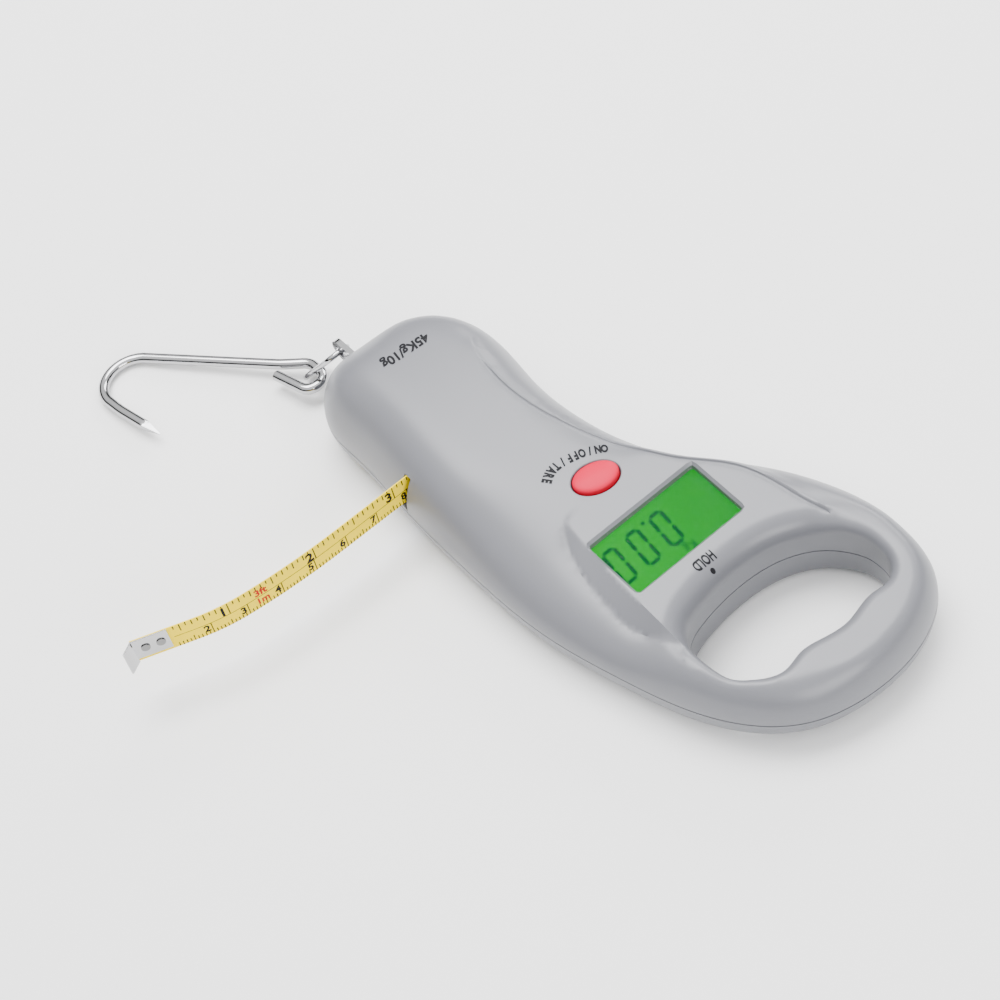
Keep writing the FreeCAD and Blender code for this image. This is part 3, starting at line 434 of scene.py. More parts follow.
def shell_mesh(name, height, openings, extra_lines, up):
    """One half of the housing as a sheet with walls at its openings. Up is 1 for the front, -1 for the back.
    Each opening is (loop, bevel, wall end, floor): a floor closes it at the wall's end."""
    plan = Layout()
    edge_rings = [plan.line(offset(outline, step)) for step in EDGE_STEPS]
    hole_rings = [plan.line(offset(hole, -step)) for step in HOLE_STEPS]
    opening_rings = []
    for loop, bevel, end, floor in openings:
        opening_rings.append(plan.line(loop))
        if bevel:
            plan.line(offset(loop, -bevel))
    for line in extra_lines:
        if len(line) > 1:
            plan.line(line, False)
    plan.fill(0.95)
    flat = [Vector(point) for point in plan.points]
    verts, _, faces, origins, _, _ = delaunay_2d_cdt(flat, plan.edges, [], 0, 1e-5, True)
    points = np.array([tuple(v) for v in verts])
    faces = np.array([tuple(f) for f in faces])
    place = {}
    for number, sources in enumerate(origins):
        for source in sources:
            place[source] = number
    centres = points[faces].mean(axis=1)
    keep = inside(centres, outline) & ~inside(centres, hole)
    for loop, bevel, end, floor in openings:
        keep &= ~inside(centres, loop)
    faces = faces[keep]
    from_edge = distance(points, outline_fine)
    from_hole = distance(points, hole_fine)
    for rings, steps, target in ((edge_rings, EDGE_STEPS, from_edge), (hole_rings, HOLE_STEPS, from_hole)):
        for numbers, step in zip(rings, steps):
            target[[place[n] for n in numbers]] = step
    level = height(points, faces, from_edge, from_hole)
    solid = [(x, y, z) for (x, y), z in zip(points, level)]
    polygons = [tuple(face) for face in faces]

    def wall(numbers, end, floor):
        """Wall from a ring of points to a level, and a floor at its end if asked."""
        top = [place[n] for n in numbers]
        bottom = []
        for number in top:
            bottom.append(len(solid))
            solid.append((*solid[number][:2], end))
        for i in range(len(top)):
            j = (i + 1) % len(top)
            polygons.append((top[i], top[j], bottom[j], bottom[i]))
        if floor:
            polygons.append(tuple(bottom))

    for (loop, bevel, end, floor), numbers in zip(openings, opening_rings):
        for number in numbers:
            if bevel:
                x, y, z = solid[place[number]]
                solid[place[number]] = (x, y, z - up * bevel)
        wall(numbers, end, floor)
    wall(hole_rings[0], SEAM + up * SEAM_GAP, False)
    used = sorted({n for polygon in polygons for n in polygon})
    renumber = {old: new for new, old in enumerate(used)}
    item = new_object(name, [solid[n] for n in used],
                      [tuple(renumber[n] for n in polygon) for polygon in polygons], FINISHES["shell"])
    shape = bmesh.new()
    shape.from_mesh(item.data)
    bmesh.ops.recalc_face_normals(shape, faces=shape.faces)
    lean = sum(face.normal.z * face.calc_area() for face in shape.faces)
    if lean * up < 0:
        bmesh.ops.reverse_faces(shape, faces=shape.faces)
    shape.to_mesh(item.data)
    shape.free()
    item.data.set_sharp_from_angle(angle=math.radians(SHARP_ANGLE))
    return item


# ---------------------------------------------------------------- materials


def set_sockets(shader, values):
    """Set plain values on the shader's own sockets."""
    for name, value in values.items():
        shader.inputs[name].default_value = value


def finish_of(name, colour, roughness, metallic=0.0, mottle=0.04, grain=0.4, bump=0.006, wear=0.03, **extra):
    """Procedural finish: fine grain in the surface, and colour and gloss that vary a little.
    Grain and bump are sizes in millimetres."""
    material = bpy.data.materials.new(name)
    material.use_nodes = True
    nodes, links = material.node_tree.nodes, material.node_tree.links
    shader = nodes["Principled BSDF"]
    set_sockets(shader, {"Metallic": metallic})
    set_sockets(shader, {key.replace("_", " "): value for key, value in extra.items()})
    place = nodes.new("ShaderNodeTexCoord")
    fine = nodes.new("ShaderNodeTexNoise")
    fine.inputs["Scale"].default_value = 1.0 / (grain * MM)
    fine.inputs["Detail"].default_value = 3.0
    broad = nodes.new("ShaderNodeTexNoise")
    broad.inputs["Scale"].default_value = 55.0
    broad.inputs["Detail"].default_value = 2.0
    for texture in (fine, broad):
        links.new(place.outputs["Object"], texture.inputs["Vector"])
    ramp = nodes.new("ShaderNodeValToRGB")
    ramp.color_ramp.elements[0].position = 0.3
    ramp.color_ramp.elements[0].color = (*[c * (1 - mottle) for c in colour], 1)
    ramp.color_ramp.elements[1].position = 0.7
    ramp.color_ramp.elements[1].color = (*[min(c * (1 + mottle), 1.0) for c in colour], 1)
    links.new(broad.outputs["Fac"], ramp.inputs["Fac"])
    links.new(ramp.outputs["Color"], shader.inputs["Base Color"])
    gloss = nodes.new("ShaderNodeMapRange")
    gloss.inputs["To Min"].default_value = max(roughness - wear, 0.0)
    gloss.inputs["To Max"].default_value = roughness + wear
    links.new(fine.outputs["Fac"], gloss.inputs["Value"])
    links.new(gloss.outputs["Result"], shader.inputs["Roughness"])
    if bump:
        relief = nodes.new("ShaderNodeBump")
        relief.inputs["Distance"].default_value = bump * MM
        links.new(fine.outputs["Fac"], relief.inputs["Height"])
        links.new(relief.outputs["Normal"], shader.inputs["Normal"])
    return material


def blend_along(material, axis, low, high, first, last):
    """Run the base colour from one to another along an axis, between two places in millimetres."""
    nodes, links = material.node_tree.nodes, material.node_tree.links
    place = nodes.new("ShaderNodeTexCoord")
    split = nodes.new("ShaderNodeSeparateXYZ")
    links.new(place.outputs["Object"], split.inputs["Vector"])
    share = nodes.new("ShaderNodeMapRange")
    share.inputs["From Min"].default_value = low * MM
    share.inputs["From Max"].default_value = high * MM
    links.new(split.outputs[axis], share.inputs["Value"])
    ramp = nodes.new("ShaderNodeValToRGB")
    ramp.color_ramp.elements[0].color = (*first, 1)
    ramp.color_ramp.elements[1].color = (*last, 1)
    links.new(share.outputs["Result"], ramp.inputs["Fac"])
    return ramp.outputs["Color"]


def make_lcd_finish():
    """Lit green display, a little brighter at its +X end."""
    box_low, box_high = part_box("display_cell")
    material = finish_of("lcd_green", (0.0, 0.02, 0.0), 0.6, bump=0.0, Specular_IOR_Level=0.0)
    nodes, links = material.node_tree.nodes, material.node_tree.links
    shader = nodes["Principled BSDF"]
    ends = box_low[0] / MM, box_high[0] / MM
    colour = blend_along(material, "X", *ends, (0.0, 0.35, 0.015), (0.0, 0.52, 0.02))
    links.new(colour, shader.inputs["Emission Color"])
    shader.inputs["Emission Strength"].default_value = 1.0
    return material


def make_button_finish():
    """Rubbery red with painted shade: darker on the sides than on the crown."""
    # Painted shade: the sides get a darker red than the crown, as light from above would leave them.
    side, crown = (0.5, 0.0, 0.015), (0.62, 0.0, 0.04)
    material = finish_of("button_red", crown, 0.45, grain=0.25, bump=0.004, Specular_IOR_Level=0.15)
    shader = material.node_tree.nodes["Principled BSDF"]
    # Painted shade: the red runs from the darker sides up to the lighter crown between these levels.
    colour = blend_along(material, "Z", 24.7, 25.7, side, crown)
    material.node_tree.links.new(colour, shader.inputs["Base Color"])
    return material


FINISHES = {
    "shell": finish_of("satin_grey_plastic", (0.15, 0.153, 0.169), 0.36, mottle=0.012, grain=0.35, bump=0.004,
                       Coat_Weight=0.12, Coat_Roughness=0.3),
    "window": finish_of("clear_window", (0.0, 0.12, 0.0), 0.05, mottle=0.01, bump=0.0, Alpha=0.04,
                        Specular_IOR_Level=0.3),
    "lcd": make_lcd_finish(),
    "backlight": finish_of("light_guide", (0.85, 0.9, 0.85), 0.3),
    "black_rubber": finish_of("black_rubber", (0.02, 0.02, 0.022), 0.65),
    "board": finish_of("green_board", (0.02, 0.16, 0.05), 0.35, mottle=0.2, grain=0.9, bump=0.02),
    "epoxy": finish_of("black_epoxy", (0.015, 0.015, 0.018), 0.3, grain=0.7, bump=0.03),
    "inner_plastic": finish_of("matt_black_plastic", (0.035, 0.036, 0.04), 0.5, grain=0.3, bump=0.008),
    "battery_can": finish_of("battery_sleeve", (0.03, 0.06, 0.22), 0.25, metallic=0.4),
    "screw_steel": finish_of("zinc_screw", (0.62, 0.62, 0.6), 0.3, metallic=1.0, grain=0.15, wear=0.08),
    "bright_steel": finish_of("bright_steel", (0.44, 0.44, 0.45), 0.09, metallic=1.0, mottle=0.05, grain=0.12,
                              bump=0.0012, wear=0.05),
    "cell_aluminium": finish_of("machined_aluminium", (0.72, 0.73, 0.74), 0.35, metallic=1.0, grain=0.2,
                                wear=0.1),
    "gauge_film": finish_of("orange_film", (0.75, 0.3, 0.03), 0.3),
    "button": make_button_finish(),
    "tape": finish_of("yellow_tape", (0.95, 0.7, 0.0), 0.5, mottle=0.05, grain=0.6, bump=0.003,
                      Specular_IOR_Level=0.05),
}
RIVET_STEEL = finish_of("rivet_steel", (0.2, 0.2, 0.2), 0.2, metallic=1.0, grain=0.12, bump=0.002, wear=0.06)
PRINT_BLACK = finish_of("black_ink", (0.006, 0.006, 0.006), 0.6, bump=0.0, Specular_IOR_Level=0.1)
PRINT_RED = finish_of("red_ink", (0.42, 0.01, 0.004), 0.6, bump=0.0, Specular_IOR_Level=0.1)
PRINT_GREY = finish_of("grey_ink", (0.012, 0.012, 0.014), 0.6, bump=0.0, Specular_IOR_Level=0.1)
PRINT_LCD = finish_of("dark_segments", (0.0, 0.04, 0.008), 0.6, bump=0.0, Specular_IOR_Level=0.0)

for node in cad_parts.values():
    for place in node.material_slots:
        base = place.material.name.split(".")[0] if place.material else ""
        if base in FINISHES:
            place.material = FINISHES[base]
        else:
            print("no finish for", node.name, base)
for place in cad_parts["clip_rivets"].material_slots:
    place.material = RIVET_STEEL


# ---------------------------------------------------------------- housing

LENS_LOW, LENS_HIGH = [np.array(corner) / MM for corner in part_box("display_lens")]
CELL_LOW, CELL_HIGH = [np.array(corner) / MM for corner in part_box("display_cell")]
DISPLAY_X, DISPLAY_Y = (LENS_LOW[:2] + LENS_HIGH[:2]) / 2
DISPLAY_TILT = 4.7
WINDOW = rounded_box(DISPLAY_X, DISPLAY_Y, 34.0, 18.3, 0.6, 0.9)
# Levels where the walls of the window and the battery door's opening end.
WINDOW_END = 20.0
DOOR_WALL_END = 2.3
BUTTON_AT = (-8.4, 26.0)
BUTTON_TURN = -14.0
BUTTON_SIZE = (12.4, 8.8)
BUTTON_TALL = 5.6
BUTTON_GAP = 0.3
BUTTON_HOLE_END = 22.0

# Distances of the mesh's rings from the outline and from the hand hole, closest where the face bends most.
EDGE_STEPS = [0.0, 0.04, 0.15, 0.35, 0.62, 0.95, 1.4, 2.0, 2.8, 3.8]
HOLE_STEPS = [0.0, 0.06, 0.22, 0.5, 0.95, 1.5, 2.2, 3.0]
# Opposite corners of the boxes that cut the lug's and the tape's slots.
LUG_SLOT = ((4.5, -62.0, 10.5), (7.5, -52.0, 18.5))
TAPE_SLOT = ((20.0, -13.7, 11.0), (30.0, -11.1, 20.9))


def make_front():
    """Front half: pillow, panel, window, button hole, slots for the tape and the lug.
    Returns the face as a tree for finding its height."""
    long, wide = (side + 2 * BUTTON_GAP for side in BUTTON_SIZE)
    button_hole = oval(*BUTTON_AT, long, wide, BUTTON_TURN)
    openings = [(WINDOW, 0.7, WINDOW_END, False), (button_hole, 0.25, BUTTON_HOLE_END, False)]
    loops = [WINDOW, button_hole]
    lines = [clear_runs(ridge[ridge[:, 1] > 26.0], 4.4, 3.5, loops)]
    split = facet_end[facet_end[:, 1] > 31.0]
    lines.append(clear_runs(split[split[:, 1] < 72.0], 4.4, 3.5, loops))
    normal = np.gradient(welt, axis=0)
    normal /= np.linalg.norm(normal, axis=1)[:, None]
    aside = np.column_stack([-normal[:, 1], normal[:, 0]])
    for step in (-0.75, -0.3, 0.0, 0.3, 0.65, 1.3):
        lines.append(clear_runs(welt + aside * step, 4.4, 3.5, loops))
    item = shell_mesh("front_housing", front_height, openings, lines, 1)
    tree = BVHTree.FromPolygons([v.co for v in item.data.vertices], [p.vertices for p in item.data.polygons])
    finish_shell(item, [LUG_SLOT, TAPE_SLOT])
    belong(item, "housing", "shell", "front_shell")
    return tree


def make_back():
    """Back half: battery door opening and the counterbores of the screws."""
    low, high = [np.array(corner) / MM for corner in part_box("battery_door")]
    door = rounded_box(*((low + high) / 2)[:2], *(high - low + 0.6)[:2], 0.8, 0.9)
    openings = [(door, 0.0, DOOR_WALL_END, False)]
    for x, y in CASE_SCREWS:
        openings.append((ring(x, y, CASE_BORE), 0.2, float(back_level(np.array(y))) + CASE_BORE_DEEP, True))
    for x, y in CELL_SCREWS:
        openings.append((ring(x, y, CELL_BORE), 0.2, CELL_BORE_DEEP, True))
    item = shell_mesh("back_housing", back_height, openings, [], -1)
    finish_shell(item, [LUG_SLOT])
    belong(item, "housing", "shell", "back_shell")


front_tree = make_front()
make_back()


def front_surface(x, y):
    """Height of the front face at a place in plan, in millimetres."""
    hit = front_tree.ray_cast(Vector((x * MM, y * MM, 0.1)), Vector((0, 0, -1)))[0]
    return hit.z / MM if hit else float(rise(y))


# ---------------------------------------------------------------- button


def make_button():
    """Oval button: flange, straight sides, rolled edge and a low crown.
    The profile's points are (growth of the oval, level)."""
    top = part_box("power_button")[1][2] / MM
    base = top - BUTTON_TALL
    profile = [(2.0, base), (2.0, base + 1.1), (0.0, base + 1.2), (0.0, top - 1.25)]
    profile += [(-0.1, top - 0.92), (-0.35, top - 0.66), (-0.8, top - 0.46), (-1.5, top - 0.3)]
    profile += [(-2.4, top - 0.15), (-3.4, top - 0.05)]
    turn = math.radians(BUTTON_TURN)
    count = 72
    verts, faces = [], []
    for grow, level in profile:
        for step in range(count):
            angle = 2 * math.pi * step / count
            x = (BUTTON_SIZE[0] / 2 + grow) * math.cos(angle)
            y = (BUTTON_SIZE[1] / 2 + grow) * math.sin(angle)
            verts.append((BUTTON_AT[0] + x * math.cos(turn) - y * math.sin(turn),
                          BUTTON_AT[1] + x * math.sin(turn) + y * math.cos(turn), level))
    for row in range(len(profile) - 1):
        for i in range(count):
            j = (i + 1) % count
            faces.append((row * count + i, row * count + j, (row + 1) * count + j, (row + 1) * count + i))
    bottom, crown = len(verts), len(verts) + 1
    verts += [(*BUTTON_AT, base), (*BUTTON_AT, top)]
    last = (len(profile) - 1) * count
    for i in range(count):
        j = (i + 1) % count
        faces.append((j, i, bottom))
        faces.append((last + i, last + j, crown))
    item = new_object("button_cap", verts, faces, FINISHES["button"], 50.0)
    belong(item, "button", "button", "power_button")


make_button()


# ---------------------------------------------------------------- printing

# Height of a capital letter as a share of the type size, and the ink's thickness.
CAP_SHARE = 0.7
INK = 0.03
# Longest edge of a letter, so that it follows the curved face.
LONGEST_EDGE = 0.45


class Print:
    """Thin printed marks, gathered into one piece. Each mark is laid out flat and then placed."""

    def __init__(self):
        self.verts = []
        self.faces = []

    def add(self, verts, faces):
        """Add a mark's points and faces."""
        first = len(self.verts)
        self.verts += [tuple(v) for v in verts]
        self.faces += [tuple(first + n for n in face) for face in faces]

    def bar(self, corners, lay):
        """Flat outline with the ink's thickness, placed by lay(x, y, z)."""
        count = len(corners)
        verts = [lay(x, y, z) for z in (0.0, INK) for x, y in corners]
        faces = [tuple(range(count))[::-1], tuple(range(count, 2 * count))]
        faces += [(i, (i + 1) % count, count + (i + 1) % count, count + i) for i in range(count)]
        self.add(verts, faces)

    def write(self, text, tall, lay, slant=0.0, narrow=1.0, bold=0.05):
        """Write text whose middle is at x 0 and whose foot is at y 0, placed by lay(x, y, z)."""
        verts, faces = letters(text, tall, bold)
        self.add([lay((x + y * slant) * narrow, y, z) for x, y, z in verts], faces)

    def piece(self, name, material, body, slot):
        """Make the printed piece."""
        belong(new_object(name, self.verts, self.faces, material), body, slot)


def letters(text, tall, bold):
    """Points and faces of a line of text with the ink's thickness, centred on x 0.
    Bold is how far the strokes are fattened, as a share of the height."""
    curve = bpy.data.curves.new("letters", "FONT")
    curve.body = text
    curve.align_x = "CENTER"
    curve.size = tall / CAP_SHARE
    curve.extrude = INK / 2
    curve.offset = tall * bold
    curve.resolution_u = 3
    item = bpy.data.objects.new("letters", curve)
    bpy.context.collection.objects.link(item)
    mesh = bpy.data.meshes.new_from_object(item.evaluated_get(bpy.context.evaluated_depsgraph_get()))
    shape = bmesh.new()
    shape.from_mesh(mesh)
    bmesh.ops.remove_doubles(shape, verts=shape.verts, dist=0.0001)
    for _ in range(3):
        bmesh.ops.triangulate(shape, faces=shape.faces)
        long = [edge for edge in shape.edges if edge.calc_length() > LONGEST_EDGE]
        bmesh.ops.subdivide_edges(shape, edges=long, cuts=1)
    bmesh.ops.triangulate(shape, faces=shape.faces)
    shape.verts.index_update()
    verts = [(v.co.x, v.co.y, v.co.z + INK / 2) for v in shape.verts]
    faces = [tuple(v.index for v in face.verts) for face in shape.faces]
    shape.free()
    bpy.data.objects.remove(item)
    bpy.data.curves.remove(curve)
    bpy.data.meshes.remove(mesh)
    return verts, faces


def on_front(x0, y0, turn):
    """Placing rule for marks on the front face, turned by degrees about their own foot."""
    c, s = math.cos(math.radians(turn)), math.sin(math.radians(turn))

    def lay(x, y, z):
        px, py = x0 + x * c - y * s, y0 + x * s + y * c
        return px, py, front_surface(px, py) + 0.035 + z
    return lay


# Line round the button that its label follows.
LABEL_ARC = [
    (-16.5, 21.2), (-14.2, 19.8), (-11.4, 18.4), (-8.1, 17.3), (-4.2, 16.6), (-1.4, 17.0), (1.6, 18.8),
]


def make_front_print():
    """Labels of the button, the hold lamp and the capacity."""
    ink = Print()
    path = spline(LABEL_ARC, 0.05, False)
    words = "ON / OFF / TARE"
    widths = [{" ": 0.5, "/": 0.7}.get(c, 1.15) for c in words]
    ends = np.cumsum(widths)
    for character, end, width in zip(words, ends, widths):
        at = (end - width / 2) / ends[-1] * (len(path) - 3)
        here, there = path[int(at)], path[int(at) + 2]
        ahead = math.atan2(there[1] - here[1], there[0] - here[0])
        foot = here + 1.1 * np.array([math.sin(ahead), -math.cos(ahead)])
        if character != " ":
            ink.write(character, 2.4, on_front(*foot, math.degrees(ahead)), 0.0, 0.64, 0.08)
    ink.write("HOLD", 2.6, on_front(-11.0, 60.9, 0.0), 0.0, 0.6)
    ink.bar(ring(0.0, 0.0, 0.62, 0.25), on_front(-11.1, 65.0, 0.0))
    ink.write("45Kg/10g", 3.1, on_front(-0.6, -41.0, -4.5), 0.1, 0.84)
    ink.piece("front_labels", PRINT_GREY, "housing", "shell")


def on_display(x, y, z):
    """Placing rule for the display's segments, on top of the tilted cell."""
    slope = math.tan(math.radians(DISPLAY_TILT))
    top = CELL_HIGH[2] - slope * (y - CELL_LOW[1])
    return x, y, top + 0.005 + z


def make_display_print():
    """Seven-segment figures and the unit."""
    ink = Print()
    foot, tall, wide, thick, slant = 42.1, 11.2, 4.6, 1.05, 0.1
    gap = 0.12

    def stroke(ax, ay, bx, by, centre):
        """One segment with pointed ends."""
        along = np.array([bx - ax, by - ay])
        along /= np.linalg.norm(along)
        side = np.array([-along[1], along[0]]) * thick / 2
        a = np.array([ax, ay]) + along * gap
        b = np.array([bx, by]) - along * gap
        tip = along * thick / 2
        corners = [a, a + tip - side, b - tip - side, b, b - tip + side, a + tip + side]
        ink.bar([(centre + x + (y - foot) * slant, y) for x, y in corners], on_display)

    def unit_place(x, y, z):
        """Placing rule for the unit, in the corner beside the figures."""
        return on_display(x - 12.6, y + 54.4, z)

    for centre in (-12.2, -4.6, 2.9):
        left, right = -wide / 2 + thick / 2, wide / 2 - thick / 2
        low, mid, top = foot + thick / 2, foot + tall / 2, foot + tall - thick / 2
        stroke(left, low, right, low, centre)
        stroke(left, top, right, top, centre)
        for x in (left, right):
            stroke(x, low, x, mid, centre)
            stroke(x, mid, x, top, centre)
    dot = ((-0.5, -0.5), (0.5, -0.5), (0.6, 0.5), (-0.4, 0.5))
    ink.bar([(x - 8.6, y + 42.6) for x, y in dot], on_display)
    ink.write("Kg", 2.5, unit_place, slant, 0.85, 0.01)
    ink.piece("display_segments", PRINT_LCD, "housing", "lcd")


make_front_print()
make_display_print()

# ---------------------------------------------------------------- tape

INCH = 25.4
TAPE_LOW, TAPE_HIGH = [np.array(corner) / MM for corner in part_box("tape_blade")]
TAPE_LINE = -13.0
# Stretches of the blade: (length, 0) for a straight one and (radius, degrees) for a bend.
TAPE_RUNS = [(46.0, 0.0), (200.0, 8.0), (55.0, 14.0), (16.4, 0.0)]
TAPE_THICK = 0.3
TAPE_STEP = 0.1


def tape_centre():
    """Points one step apart along the blade's centre line, from the reel to its end."""
    points = [(0.0, TAPE_LINE)]
    heading = 0.0
    for length, turn in TAPE_RUNS:
        run = math.radians(turn) * length if turn else length
        count = int(run / TAPE_STEP)
        for _ in range(count):
            heading += math.radians(turn) / count
            x, y = points[-1]
            points.append((x + run / count * math.cos(heading), y - run / count * math.sin(heading)))
    return np.array(points)


tape_line = tape_centre()


def on_tape(from_end, foot):
    """Placing rule on the blade's printed face: x runs away from the end clip and y is up."""
    def lay(x, y, z):
        at = np.clip(len(tape_line) - 1 - (from_end + x) / TAPE_STEP, 1, len(tape_line) - 2)
        low = int(at)
        here = tape_line[low] + (tape_line[low + 1] - tape_line[low]) * (at - low)
        ahead = tape_line[low + 1] - tape_line[low - 1]
        ahead = ahead / np.linalg.norm(ahead)
        out = np.array([-ahead[1], ahead[0]]) * (TAPE_THICK / 2 + 0.01 + z)
        return here[0] + out[0], here[1] + out[1], TAPE_LOW[2] + foot + y
    return lay


def tick(ink, from_end, foot, tall, wide=0.3):
    """One upright line of the rule."""
    ink.bar([(wide / 2, 0.0), (-wide / 2, 0.0), (-wide / 2, tall), (wide / 2, tall)], on_tape(from_end, foot))


def make_tape_print():
    """Rule in inches along the top edge and centimetres along the bottom edge."""
    ink, red = Print(), Print()
    wide = TAPE_HIGH[2] - TAPE_LOW[2]
    start, shown = 10.5, 84.0
    for part in range(int(shown / INCH * 16) + 1):
        at = part * INCH / 16
        tall = {0: wide / 2, 8: 2.7, 4: 2.3, 12: 2.3}.get(part % 16, 1.9 if part % 2 == 0 else 1.3)
        if at > start:
            tick(ink, at, wide - tall, tall)
    for step in range(int(shown) + 1):
        tall = wide / 2 if step % 10 == 0 else (2.1 if step % 5 == 0 else 1.4)
        if step > start:
            tick(ink, float(step), 0.0, tall, 0.26)
    pieces = int((shown - start) / 2.0)
    for i in range(pieces):
        tick(ink, start + (i + 0.5) * 2.0, wide / 2 - 0.07, 0.14, 2.04)
    for number in range(1, 4):
        ink.write(str(number), 3.0, on_tape(number * INCH - 1.6, wide / 2 + 0.3))
    for number in range(2, 9):
        ink.write(str(number), 2.3, on_tape(number * 10.0 - 1.3, 1.5))
    red.write("3ft", 2.3, on_tape(1.35 * INCH, wide / 2 + 0.5))
    red.write("1m", 2.1, on_tape(1.35 * INCH, 1.6))
    ink.piece("tape_print_black", PRINT_BLACK, "tape", "tape")
    red.piece("tape_print_red", PRINT_RED, "tape", "tape")


make_tape_print()


# ---------------------------------------------------------------- hook

# Middle of the hook's wire in plan, from the free end of the eye to the point, with each corner's radius.
HOOK_PLAN = [
    (20.3, -79.8), (17.6, -67.0), (11.2, -67.6), (11.2, -75.5), (17.0, -81.8), (59.4, -140.0), (56.9, -104.0),
    (54.3, -87.6),
]
HOOK_RADII = [3.2, 3.1, 4.0, 24.0, 9.0, 40.0]
HOOK_RADIUS = 1.5
ROUTE_STEP = 0.5
EYE_Y, EYE_Z = -72.2, 4.5
BEND_Y = -118.4
POINT_LONG = 6.5


def rounded_route(corners, radii):
    """Points along straight runs joined by arcs of the given radii."""
    route = [np.array(corners[0])]
    for before, corner, after, radius in zip(corners, corners[1:], corners[2:], radii):
        corner = np.array(corner)
        into = corner - np.array(before)
        into = into / np.linalg.norm(into)
        out = np.array(after) - corner
        out = out / np.linalg.norm(out)
        half = math.acos(float(np.clip(into @ out, -1.0, 1.0))) / 2
        first = corner - into * radius * math.tan(half)
        side = np.array([-into[1], into[0]])
        side = side * np.sign(side @ out)
        steps = max(4, int(half * radius / 0.35))
        for step in range(steps + 1):
            angle = 2 * half * step / steps
            route.append(first + into * radius * math.sin(angle) + side * radius * (1 - math.cos(angle)))
    route.append(np.array(corners[-1]))
    return evenly(np.array(route), ROUTE_STEP, False)


def make_hook():
    """Bright wire hook with a closed-up eye and a point ground to flats."""
    plan = rounded_route(HOOK_PLAN, HOOK_RADII)
    level = HOOK_RADIUS + (plan[:, 1] - BEND_Y) * (EYE_Z - HOOK_RADIUS) / (EYE_Y - BEND_Y)
    route = np.column_stack([plan, level])
    run = np.linalg.norm(route[1:] - route[:-1], axis=1)
    to_tip = np.concatenate([np.cumsum(run[::-1])[::-1], [0.0]])
    count = 24
    verts, faces = [], []
    up = Vector((0, 0, 1))
    for number, here in enumerate(route):
        ahead = Vector(route[min(number + 1, len(route) - 1)] - route[max(number - 1, 0)]).normalized()
        side = ahead.cross(up).normalized()
        rise_way = side.cross(ahead)
        radius = HOOK_RADIUS * (0.72 if number == 0 else 1.0)
        ground = to_tip[number] / POINT_LONG
        for step in range(count):
            angle = 2 * math.pi * step / count
            reach = radius
            if ground < 1.0:
                flat = math.cos((angle + math.pi / 4) % (math.pi / 2) - math.pi / 4)
                reach = min(radius, HOOK_RADIUS * (0.06 + 0.72 * ground) / flat)
            verts.append(Vector(here) + side * reach * math.cos(angle) + rise_way * reach * math.sin(angle))
    for row in range(len(route) - 1):
        for i in range(count):
            j = (i + 1) % count
            faces.append((row * count + i, row * count + j, (row + 1) * count + j, (row + 1) * count + i))
    faces.append(tuple(range(count))[::-1])
    faces.append(tuple(range((len(route) - 1) * count, len(route) * count)))
    item = new_object("hook_wire", verts, faces, FINISHES["bright_steel"], 24.0)
    belong(item, "hook", "bright_steel", "hook")


make_hook()


# ---------------------------------------------------------------- stage, light and camera


def make_floor():
    """Plain pale floor just under the object."""
    half, level = 1.5, cad_box[0][2] - 0.0002
    mesh = bpy.data.meshes.new("floor")
    mesh.from_pydata([(-half, -half, level), (half, -half, level), (half, half, level), (-half, half, level)],
                     [], [(0, 1, 2, 3)])
    mesh.materials.append(finish_of("pale_floor", (0.93, 0.93, 0.93), 0.9, mottle=0.004, grain=3.0, bump=0.0))
    floor = bpy.data.objects.new("floor", mesh)
    bpy.context.collection.objects.link(floor)


def add_light(name, place, aim, wide, tall, power):
    """Soft rectangular lamp aimed at a point, in metres."""
    data = bpy.data.lights.new(name, "AREA")
    data.shape = "RECTANGLE"
    data.size, data.size_y, data.energy = wide, tall, power
    lamp = bpy.data.objects.new(name, data)
    bpy.context.collection.objects.link(lamp)
    lamp.location = place
    lamp.rotation_euler = (Vector(aim) - Vector(place)).to_track_quat("-Z", "Y").to_euler()


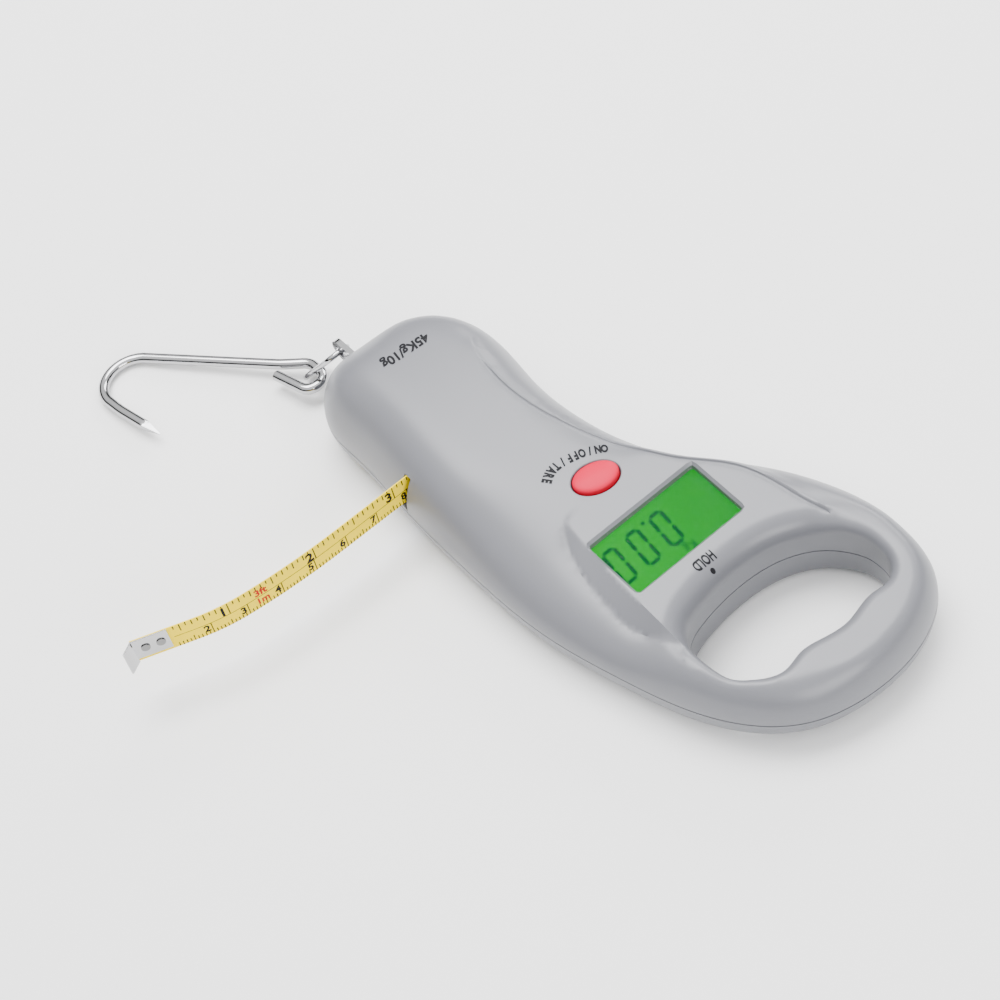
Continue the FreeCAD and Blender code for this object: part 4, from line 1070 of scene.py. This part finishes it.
def make_light():
    """White surroundings with a broad lamp overhead and smaller ones at the handle end and far side."""
    world = bpy.data.worlds.new("studio")
    world.use_nodes = True
    nodes, links = world.node_tree.nodes, world.node_tree.links
    place = nodes.new("ShaderNodeTexCoord")
    split = nodes.new("ShaderNodeSeparateXYZ")
    ramp = nodes.new("ShaderNodeValToRGB")
    links.new(place.outputs["Generated"], split.inputs["Vector"])
    links.new(split.outputs["Z"], ramp.inputs["Fac"])
    for position, level in ((0.0, 0.3), (0.06, 0.02), (0.36, 0.03), (0.5, 0.6), (0.95, 1.1)):
        stop = ramp.color_ramp.elements[0] if position == 0.0 else ramp.color_ramp.elements.new(position)
        stop.color = (level, level, level, 1)
    links.new(ramp.outputs["Color"], nodes["Background"].inputs["Color"])
    nodes["Background"].inputs["Strength"].default_value = 1.9
    bpy.context.scene.world = world
    add_light("overhead", (-0.1, -0.35, 1.0), (0, 0.02, 0), 0.9, 0.6, 22.0)
    add_light("handle_end", (0.1, 0.95, 0.5), (0, 0.06, 0.01), 0.6, 0.4, 7.0)
    add_light("far_side", (-0.75, -0.4, 0.45), (0, 0, 0.01), 0.5, 0.3, 5.0)


CAMERA_AT = (186.18, 367.96, 525.48)
CAMERA_AZIMUTH = 153.86
CAMERA_RISE = 51.75
CAMERA_ROLL = -16.98


def make_camera():
    """Camera above the handle's end, rolled about its own axis."""
    data = bpy.data.cameras.new("camera")
    data.lens, data.sensor_width, data.clip_start = 93.47, 36.0, 0.01
    camera = bpy.data.objects.new("camera", data)
    bpy.context.collection.objects.link(camera)
    azimuth, up_angle, roll = (math.radians(a) for a in (CAMERA_AZIMUTH, CAMERA_RISE, CAMERA_ROLL))
    back = Vector((math.sin(azimuth) * math.cos(up_angle), -math.cos(azimuth) * math.cos(up_angle),
                   math.sin(up_angle)))
    right = (-back).cross(Vector((0, 0, 1))).normalized()
    up = right.cross(-back)
    across = right * math.cos(roll) + up * math.sin(roll)
    upright = up * math.cos(roll) - right * math.sin(roll)
    turn = Matrix((across, upright, back)).transposed().to_4x4()
    camera.matrix_world = Matrix.Translation(Vector(CAMERA_AT) * MM) @ turn
    bpy.context.scene.camera = camera


make_floor()
make_light()
make_camera()
